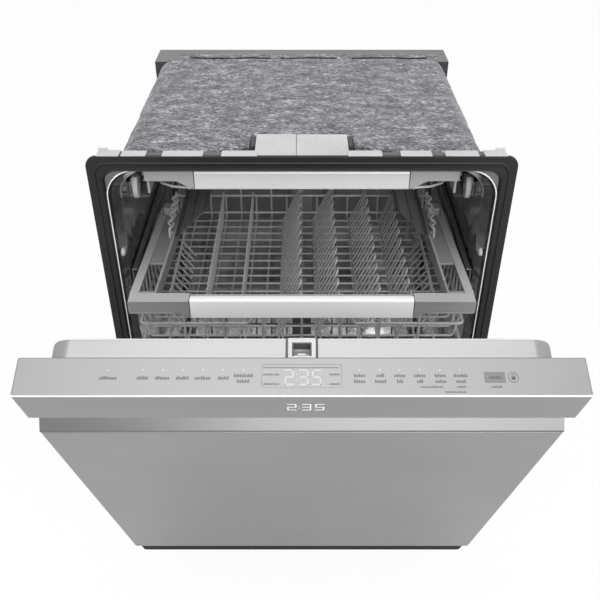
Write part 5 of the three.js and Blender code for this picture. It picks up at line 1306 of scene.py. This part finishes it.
# %% The top rack's tray
THIRD_HALF, THIRD_FRONT, THIRD_REAR, THIRD_FLOOR, TRAY_BEND = 226.9, 82.1, 445.9, 760, 56
corners = [(-THIRD_HALF, THIRD_FRONT), (THIRD_HALF, THIRD_FRONT),
           (THIRD_HALF, THIRD_REAR), (-THIRD_HALF, THIRD_REAR)]
rim = wires([[(x, y, THIRD_FLOOR) for x, y in corners]], 2.1, TRAY_BEND, 8, True)


def tray_cut(reach):
    """How much shorter a tray wire ends, `reach` mm from a side of the tray, because of the round corners."""
    inside = max(0.0, TRAY_BEND - reach)
    return TRAY_BEND - math.sqrt(TRAY_BEND ** 2 - inside ** 2)


tray = []
for y in spread(THIRD_FRONT, THIRD_REAR, 16)[1:-1]:
    end = THIRD_HALF - tray_cut(min(y - THIRD_FRONT, THIRD_REAR - y))
    tray.append([(-end, y, THIRD_FLOOR), (end, y, THIRD_FLOOR)])
for x in spread(-THIRD_HALF, THIRD_HALF, 17)[1:-1]:
    cut = tray_cut(THIRD_HALF - abs(x))
    tray.append([(x, THIRD_FRONT + cut, THIRD_FLOOR - 2.4), (x, THIRD_REAR - cut, THIRD_FLOOR - 2.4)])
combs = []
for x in (-196, -138, 138, 196):
    for y in spread(112, 430, 15):
        combs.append([(x, y - 7, THIRD_FLOOR), (x, y, THIRD_FLOOR + 10), (x, y + 7, THIRD_FLOOR)])
add_piece("tray_wires", together(rim, wires(tray, 1.6, 6, 6), wires(combs, 1.3, 5, 6)), CABINET, "third_rack",
          WIRE, "third_tray")
print(len(tray), "tray wires and", len(combs), "comb wires")

# %% [markdown]
# The middle rack hangs in a grey frame. A channel runs back along each side; its inner wall has saw teeth
# for the cup shelf and its well shows the basket's wires. At the back end stands the catch that sets the
# rack's height.

# %% The middle rack's frame
MIDDLE_HALF, MIDDLE_TOP = 247, 667
RAIL_FRONT, RAIL_REAR, RAIL_TOP, FALL_END = -64, 232, 642, 204
TOOTH = ((0, 3.4), (1.1, 0.6), (2.3, 0.6), (3.2, 3.4))
frame_parts = [rack_front(MIDDLE_HALF, MIDDLE_FRONT, MIDDLE_TOP, 23, 22, 30)]


def rail_height(y):
    """The side channel's top, which falls a little towards the back."""
    share = (y - RAIL_FRONT) / (FALL_END - RAIL_FRONT)
    return MIDDLE_TOP + (RAIL_TOP - MIDDLE_TOP) * min(1.0, max(0.0, share))


def rail_floor(y):
    """The height of the side channel's lower edge."""
    return 644 - 34 * (y - RAIL_FRONT) / (RAIL_REAR - RAIL_FRONT)


def channel_part(outline, side, inset, *edge):
    """An outline of the side channel, drawn out between two distances in from the frame's side."""
    return prism(outline, "x", side * (MIDDLE_HALF - inset[0]), side * (MIDDLE_HALF - inset[1]), *edge)


for _, side in SIDES:
    low_side = [(y, rail_floor(y)) for y in (RAIL_REAR, RAIL_FRONT)]
    outer = [(y, rail_height(y)) for y in spread(RAIL_FRONT, FALL_END, 8)]
    outer += [(RAIL_REAR - 26, RAIL_TOP - 0.4), (RAIL_REAR, RAIL_TOP)]
    frame_parts.append(channel_part(outer + low_side, side, (5, 0), 1.4, 3))
    inner = [(RAIL_FRONT, MIDDLE_TOP - 1), (RAIL_FRONT + 40, rail_height(RAIL_FRONT + 40) - 1)]
    for i in range(54):
        y = RAIL_FRONT + 44 + i * 3.9
        inner += [(y + along, rail_height(y) - down) for along, down in TOOTH]
    inner.append((RAIL_REAR - 10, RAIL_TOP - 3))
    frame_parts.append(channel_part(inner + low_side, side, (38, 34.4), 0.25, 1, 50))
    for first, last in ((RAIL_FRONT, RAIL_FRONT + 9), (30, RAIL_REAR - 26)):
        web = [(y, rail_height(y) - 1.2) for y in spread(first, last, 4)]
        web += [(y, rail_height(y) - 4.6) for y in spread(first, last, 4)[::-1]]
        frame_parts.append(channel_part(web, side, (36, 3), 0.6, 2))
    rim = [(y, rail_height(y) - 0.1) for y in spread(RAIL_FRONT, FALL_END, 5)]
    rim += [(y, z - 3) for y, z in rim[::-1]]
    frame_parts.append(channel_part(rim, side, (13, 2), 0.8, 2))
    ledge = [(y, rail_floor(y) + 0.2) for y in (RAIL_FRONT, RAIL_REAR)]
    ledge += [(y, rail_floor(y) + 2.6) for y in (RAIL_REAR, RAIL_FRONT)]
    frame_parts.append(channel_part(ledge, side, (36, 30), 0.5))
    for near, far, front, rear, low, high, edge, steps in ((36, 1, 27, 1, 612, 640, 2, 2),
                                                           (30, 8, 25, 3, 636, 653.4, 2.4, 3),
                                                           (26, 12, 20, 8, 651, 653.9, 1.2, 2)):
        frame_parts.append(block(side * (MIDDLE_HALF - near), side * (MIDDLE_HALF - far), RAIL_REAR - front,
                                 RAIL_REAR - rear, low, high, edge, steps))
    frame_parts.append(block(side * 245.4, side * 255.8, 0.4, 231.6, 619, 631, 1.6))


def frame_face(face):
    """The rim along the top of the frame catches more light, so it is paler than the rest."""
    middle = face.calc_center_median()
    on_rim = abs(middle.x) > MIDDLE_HALF - 14 or middle.y < RAIL_FRONT
    return 1 if face.normal.z > 0.6 and on_rim and middle.z > 636 else 0


add_piece("middle_frame_shell", together(*frame_parts), CABINET, "middle_rack",
          [GREY, LIGHT_GREY], "middle_frame", choose=frame_face)
print("the channel falls from", MIDDLE_TOP, "to", RAIL_TOP, "mm")

# %% [markdown]
# The basket under the frame is welded wire with a grey coat. Two hoops run round it, and the upper one
# steps up under the bar's middle. Rows of hairpin tines lean to the right to hold cups and glasses, and
# straight ones stand on the left for plates. All are drawn with the same wire call, only with other points.

# %% The middle basket
BASKET_HALF, BASKET_FRONT, BASKET_REAR, BASKET_FLOOR = 243.6, -38, 365, 548
BASKET_IN, HOOP_LOW, HOOP_HIGH = BASKET_HALF - 7, 556, 593
LONG_PLACES = spread(-177, 177, 7)


def jogged(z, jog):
    """A hoop that may step up between the two middle uprights at the front."""
    front = [(-BASKET_HALF, z), (-82, z), (-66, z + jog), (66, z + jog), (82, z), (BASKET_HALF, z)]
    rear = [(BASKET_HALF, BASKET_REAR, z), (-BASKET_HALF, BASKET_REAR, z)]
    return [(x, BASKET_FRONT, high) for x, high in front] + rear


hoops = wires([jogged(HOOP_HIGH, 19), jogged(HOOP_LOW, 0)], 2.3, 8, 8, True)
long_section = [(BASKET_FRONT - 23, 650), (BASKET_FRONT, 650), (BASKET_FRONT, BASKET_FLOOR),
                (BASKET_REAR, BASKET_FLOOR), (BASKET_REAR, 650)]
short_section = [(BASKET_FRONT, HOOP_LOW), (BASKET_FRONT, BASKET_FLOOR), (BASKET_REAR, BASKET_FLOOR),
                 (BASKET_REAR, HOOP_HIGH)]
long_wires = [[(x, y, z) for y, z in long_section] for x in LONG_PLACES]
long_wires += [[(x, y, z) for y, z in short_section] for x in spread(-206.5, 206.5, 15)
               if min(abs(x - place) for place in LONG_PLACES) > 6]
cross = []
for y in spread(BASKET_FRONT, BASKET_REAR, 18)[1:-1]:
    low, high = BASKET_FLOOR + 2.8, rail_floor(y + 2) - 1
    run = [(-BASKET_HALF, y, HOOP_HIGH), (-BASKET_IN, y, low), (BASKET_IN, y, low),
           (BASKET_HALF, y, HOOP_HIGH)]
    if y < RAIL_REAR:
        run = [(-BASKET_HALF, y, high), *run, (BASKET_HALF, y, high)]
    cross.append(run)
basket = together(hoops, wires(long_wires, 1.9, 8), wires(cross, 1.7, 8, 6))
add_piece("basket_wires", basket, CABINET, "middle_rack", WIRE, "middle_basket")


def hairpins(x, width, height, lean, first, last, count):
    """A row of uprights joined in pairs at the top, leaning to the right by `lean` degrees."""
    low, over = BASKET_FLOOR + 4, height * math.tan(math.radians(lean))
    pin = [(x, -width / 2, low), (x + over, -width / 2, low + height),
           (x + over, width / 2, low + height), (x, width / 2, low)]
    rows = [[(across, y + along, up) for across, along, up in pin] for y in spread(first, last, count)]
    return rows + [[(x, first - 14, low), (x, last + 14, low)]]


pins = []
for x, width, height, lean in ((-36, 15, 78, 24), (22, 15, 78, 24), (92, 15, 66, 24), (150, 13, 58, 20)):
    pins += hairpins(x, width, height, lean, -8, 334, 12)
slant = ((36, 606), (32, 580), (52, BASKET_FLOOR + 4))
slanted = [[(side * (BASKET_HALF - inward), y, z) for inward, z in slant]
           for y in spread(-2, 214, 13) for _, side in SIDES]
tines = together(wires(pins, 1.7, 6, 6), wires(slanted, 1.6, 6, 6))
add_piece("glass_tines", tines, CABINET, "middle_rack", WIRE)
plate_pins = [[(x, y, BASKET_FLOOR + 4), (x + 3, y + 9, BASKET_FLOOR + 62)]
              for y in spread(-12, 338, 22) for x in (-152, -96)]
plate_pins += [[(x, -20, BASKET_FLOOR + 4), (x, 346, BASKET_FLOOR + 4)] for x in (-152, -96)]
add_piece("saucer_tines", wires(plate_pins, 1.7, 6, 6), CABINET, "middle_rack", WIRE)
print(len(pins) + len(plate_pins), "tines in the middle rack")

# %% [markdown]
# Wavy wires stand along both side channels and hold stemware by its foot. Each is one wire that swings in
# and out as it runs back. The cup shelf over it is a dark comb that folds on a rod along the channel.

# %% Stemware wires and cup shelves
STEM_X, STEM_SWING, SHELF_REAR = 216, 4.8, 189.6
for name, side in SIDES:
    waves = []
    for level in (653, 664):
        path = [(side * STEM_X, 118, 640), (side * STEM_X, 122, level)]
        for i in range(9):
            swing = STEM_SWING if i % 2 else -STEM_SWING
            path.append((side * (STEM_X + swing), 128 + i * 10, level + 2 * i))
        path += [(side * STEM_X, 216, level + 18), (side * STEM_X, 220, 640)]
        waves.append(path)
    add_piece(f"stem_wire_{name}", wires(waves, 1.8, 5, 8), CABINET, "middle_rack", WIRE)
    low, high = (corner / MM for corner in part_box(f"cup_shelf_{name}"))
    hinge = Vector((side * 205.4, 120, 648))
    tilt = Matrix.Translation(hinge) @ Matrix.Rotation(side * math.radians(45), 4, "Y")
    comb = [block(-side * 1.5, -side * 75.6, y, y + 3.4, -1.3, 1.3, 0.5, 1) for y in spread(0.2, 186.2, 21)]
    comb += [block(-side * near, -side * far, 0.2, SHELF_REAR, -1.5, 1.5, 0.6)
             for near, far in ((68, 75.8), (36, 40), (3, 9))]
    comb.append(drum(3.1, 0.1, 189.8, "y", 0, 0, 0.6, 20))
    shelf = placed(together(*comb), tilt)
    add_piece(f"comb_shelf_{name}", shelf, CABINET, f"cup_shelf_{name}", DARK_GREY,
              f"cup_shelf_{name}")
    print(name, "shelf spans", [round(value) for value in (high - low)], "mm in the drawing")

# %% [markdown]
# Each spray arm is a blade, widest at its hub, with jets along its top that lie in turn on either side of
# its middle. The outline is a taper with round tips, its edges are eased wide, and each jet is a small
# raised ring.

# %% Spray arms
def spray_arm(reach, low, height, hub_height, hub_y, jets):
    """A blade with its hub at x 0, `low` mm up, with `jets` rings on each half."""
    outline = []
    for end in (1, -1):
        for step in range(9):
            t = -math.pi / 2 + math.pi * step / 8
            outline.append((end * (reach - 10 + 10 * math.cos(t)), end * 9.8 * math.sin(t)))
        outline.append((0, end * 16.6))
    blade = prism([(x, hub_y + y) for x, y in outline], "z", low + 0.2, low + height - 0.2, 2.4, 3)
    parts = [blade, drum(21.4, low + 0.1, low + hub_height, "z", 0, hub_y, 2, 36),
             drum(9, low + hub_height - 1.4, low + hub_height - 0.1, "z", 0, hub_y, 0.3, 6)]
    top = low + height
    jet = [(0, top - 0.8), (3.1, top - 0.8), (3.1, top - 0.1), (2.4, top), (1.5, top), (1.2, top - 0.7),
           (0, top - 0.7)]
    for i in range(jets):
        share = 0.22 + 0.7 * i / (jets - 1)
        for end in (1, -1):
            parts.append(lathe(jet, end * reach * share, hub_y + end * 3.5 * (1 if i % 2 else -1), 16))
    return together(*parts)


for name, reach, low, height, hub_height, hub_y, jets in (
        ("lower", 212, 150.4, 10, 13, 250, 7), ("middle", 181, 508.6, 10, 13, 170, 6),
        ("upper", 148, 794.8, 6, 6, 250, 5)):
    arm = spray_arm(reach, low, height, hub_height, hub_y, jets)
    add_piece(f"{name}_arm", arm, CABINET, f"{name}_spray_arm", GREY, f"{name}_spray_arm")
    print("the", name, "arm sweeps", 2 * reach, "mm")
add_piece("feed_pipe", drawn("middle_feed_tube", 0.6), STILL, "middle_rack", GREY,
          "middle_feed_tube")

# %% [markdown]
# The lower rack is a deep basket on four wheels. Its floor wires bend up into the sides, a hoop and a rim
# hold them, and two rows of tines stand for plates: one fixed row on the right, and the folding row on its
# own rod.

# %% The lower rack
LOW_HALF, LOW_FRONT, LOW_REAR, LOW_FLOOR, LOW_MID, LOW_RIM, LOW_IN = 243.6, -15, 396, 184, 262, 338, 22
near = LOW_IN * (1 - (LOW_MID - LOW_FLOOR) / (LOW_RIM - LOW_FLOOR))
hoop_paths = []
for z, inward in ((LOW_RIM, 0), (LOW_MID, near)):
    half, front, rear = LOW_HALF - inward, LOW_FRONT + inward, LOW_REAR - inward
    hoop_paths.append([(-half, front, z), (half, front, z), (half, rear, z), (-half, rear, z)])
hoops = wires(hoop_paths, 2.3, 16, 8, True)
floor_section = [(LOW_FRONT, LOW_RIM), (LOW_FRONT + LOW_IN, LOW_FLOOR), (LOW_REAR - LOW_IN, LOW_FLOOR),
                 (LOW_REAR, LOW_RIM)]
floor_wires = [[(x, y, z) for y, z in floor_section] for x in spread(-199.6, 199.6, 13)]
side_section = [(-LOW_HALF, LOW_RIM), (-LOW_HALF + LOW_IN, LOW_FLOOR + 2.6),
                (LOW_HALF - LOW_IN, LOW_FLOOR + 2.6), (LOW_HALF, LOW_RIM)]
side_wires = [[(x, y, z) for x, z in side_section] for y in spread(30, 352, 13)]
low_brackets = []
for y in (56, 336):
    for _, side in SIDES:
        low_brackets.append(block(side * 217.8, side * 221.4, y - 7.8, y + 7.8, 140, 193.6, 1.2))
        stub = sorted((side * 219, side * 230.6))
        low_brackets.append(drum(2.9, *stub, "x", y, 145.6, 0.5, 16))
basket = together(hoops, wires(floor_wires, 1.9, 12), wires(side_wires, 1.8, 12, 6), *low_brackets)
add_piece("lower_basket_wires", basket, CABINET, "lower_rack", WIRE, "lower_basket")
fixed = [[(x, y, LOW_FLOOR + 3), (x, y + 4, LOW_FLOOR + 92)] for x in (62, 128) for y in spread(44, 338, 12)]
fixed += [[(x, 34, LOW_FLOOR + 3), (x, 346, LOW_FLOOR + 3)] for x in (62, 128)]
add_piece("plate_tines", wires(fixed, 1.8, 6, 6), CABINET, "lower_rack", WIRE)
TINE_X, TINE_FRONT, TINE_REAR, TINE_LOW, TINE_HIGH = -78, 30, 350, 187.3, 104
folding = [[(TINE_X, TINE_FRONT, TINE_LOW), (TINE_X, TINE_REAR, TINE_LOW)]]
folding += [[(TINE_X, y, TINE_LOW), (TINE_X, y, TINE_LOW + TINE_HIGH - 1.4)]
            for y in spread(TINE_FRONT + 10, TINE_REAR - 10, 9)]
add_piece("folding_row", wires(folding, 1.75, 6, 8), CABINET, "folding_tines", WIRE,
          "folding_tines")
print(len(floor_wires) + len(side_wires), "wires in the lower basket")

# %% [markdown]
# A wheel is a grey tyre on a spoked hub, and its section is turned about the axle.

# %% Wheels
for node in ("wheel_front_left", "wheel_front_right", "wheel_rear_left", "wheel_rear_right"):
    low, high = (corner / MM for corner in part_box(node))
    middle = (low + high) / 2
    half = (high.x - low.x) / 2
    tyre = [(3.5, -half), (5.6, -half), (6.2, -half + 2), (13, -half + 2), (14, -half), (16.2, -half + 0.2),
            (16.9, -half + 1.4), (16.9, half - 1.4), (16.2, half - 0.2), (14, half), (13, half - 2),
            (6.2, half - 2), (5.6, half), (3.5, half)]
    rings = [[(x, r * math.cos(t), r * math.sin(t)) for t in around(36)] for r, x in tyre]
    spokes = [placed(block(-half + 0.8, half - 0.8, -1, 1, 5.8, 13.8, 0.4, 1), Matrix.Rotation(turn, 4, "X"))
              for turn in around(6)]
    wheel = placed(together(skin(rings, loop=True), *spokes), Matrix.Translation(middle))
    add_piece("roller_" + node[6:], wheel, IN_METRES, node, GREY, node)
print("wheels of", round((high.z - low.z), 1), "mm")

# %% [markdown]
# Last, any solid of the drawing that still shows is listed, and the size of what is seen is printed.

# %% The finished machine
for node, solid in frame["nodes"].items():
    if not solid.hide_render:
        print("still showing its plain solid:", node)
low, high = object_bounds()
print("seen:", [round(side, 4) for side in high - low])
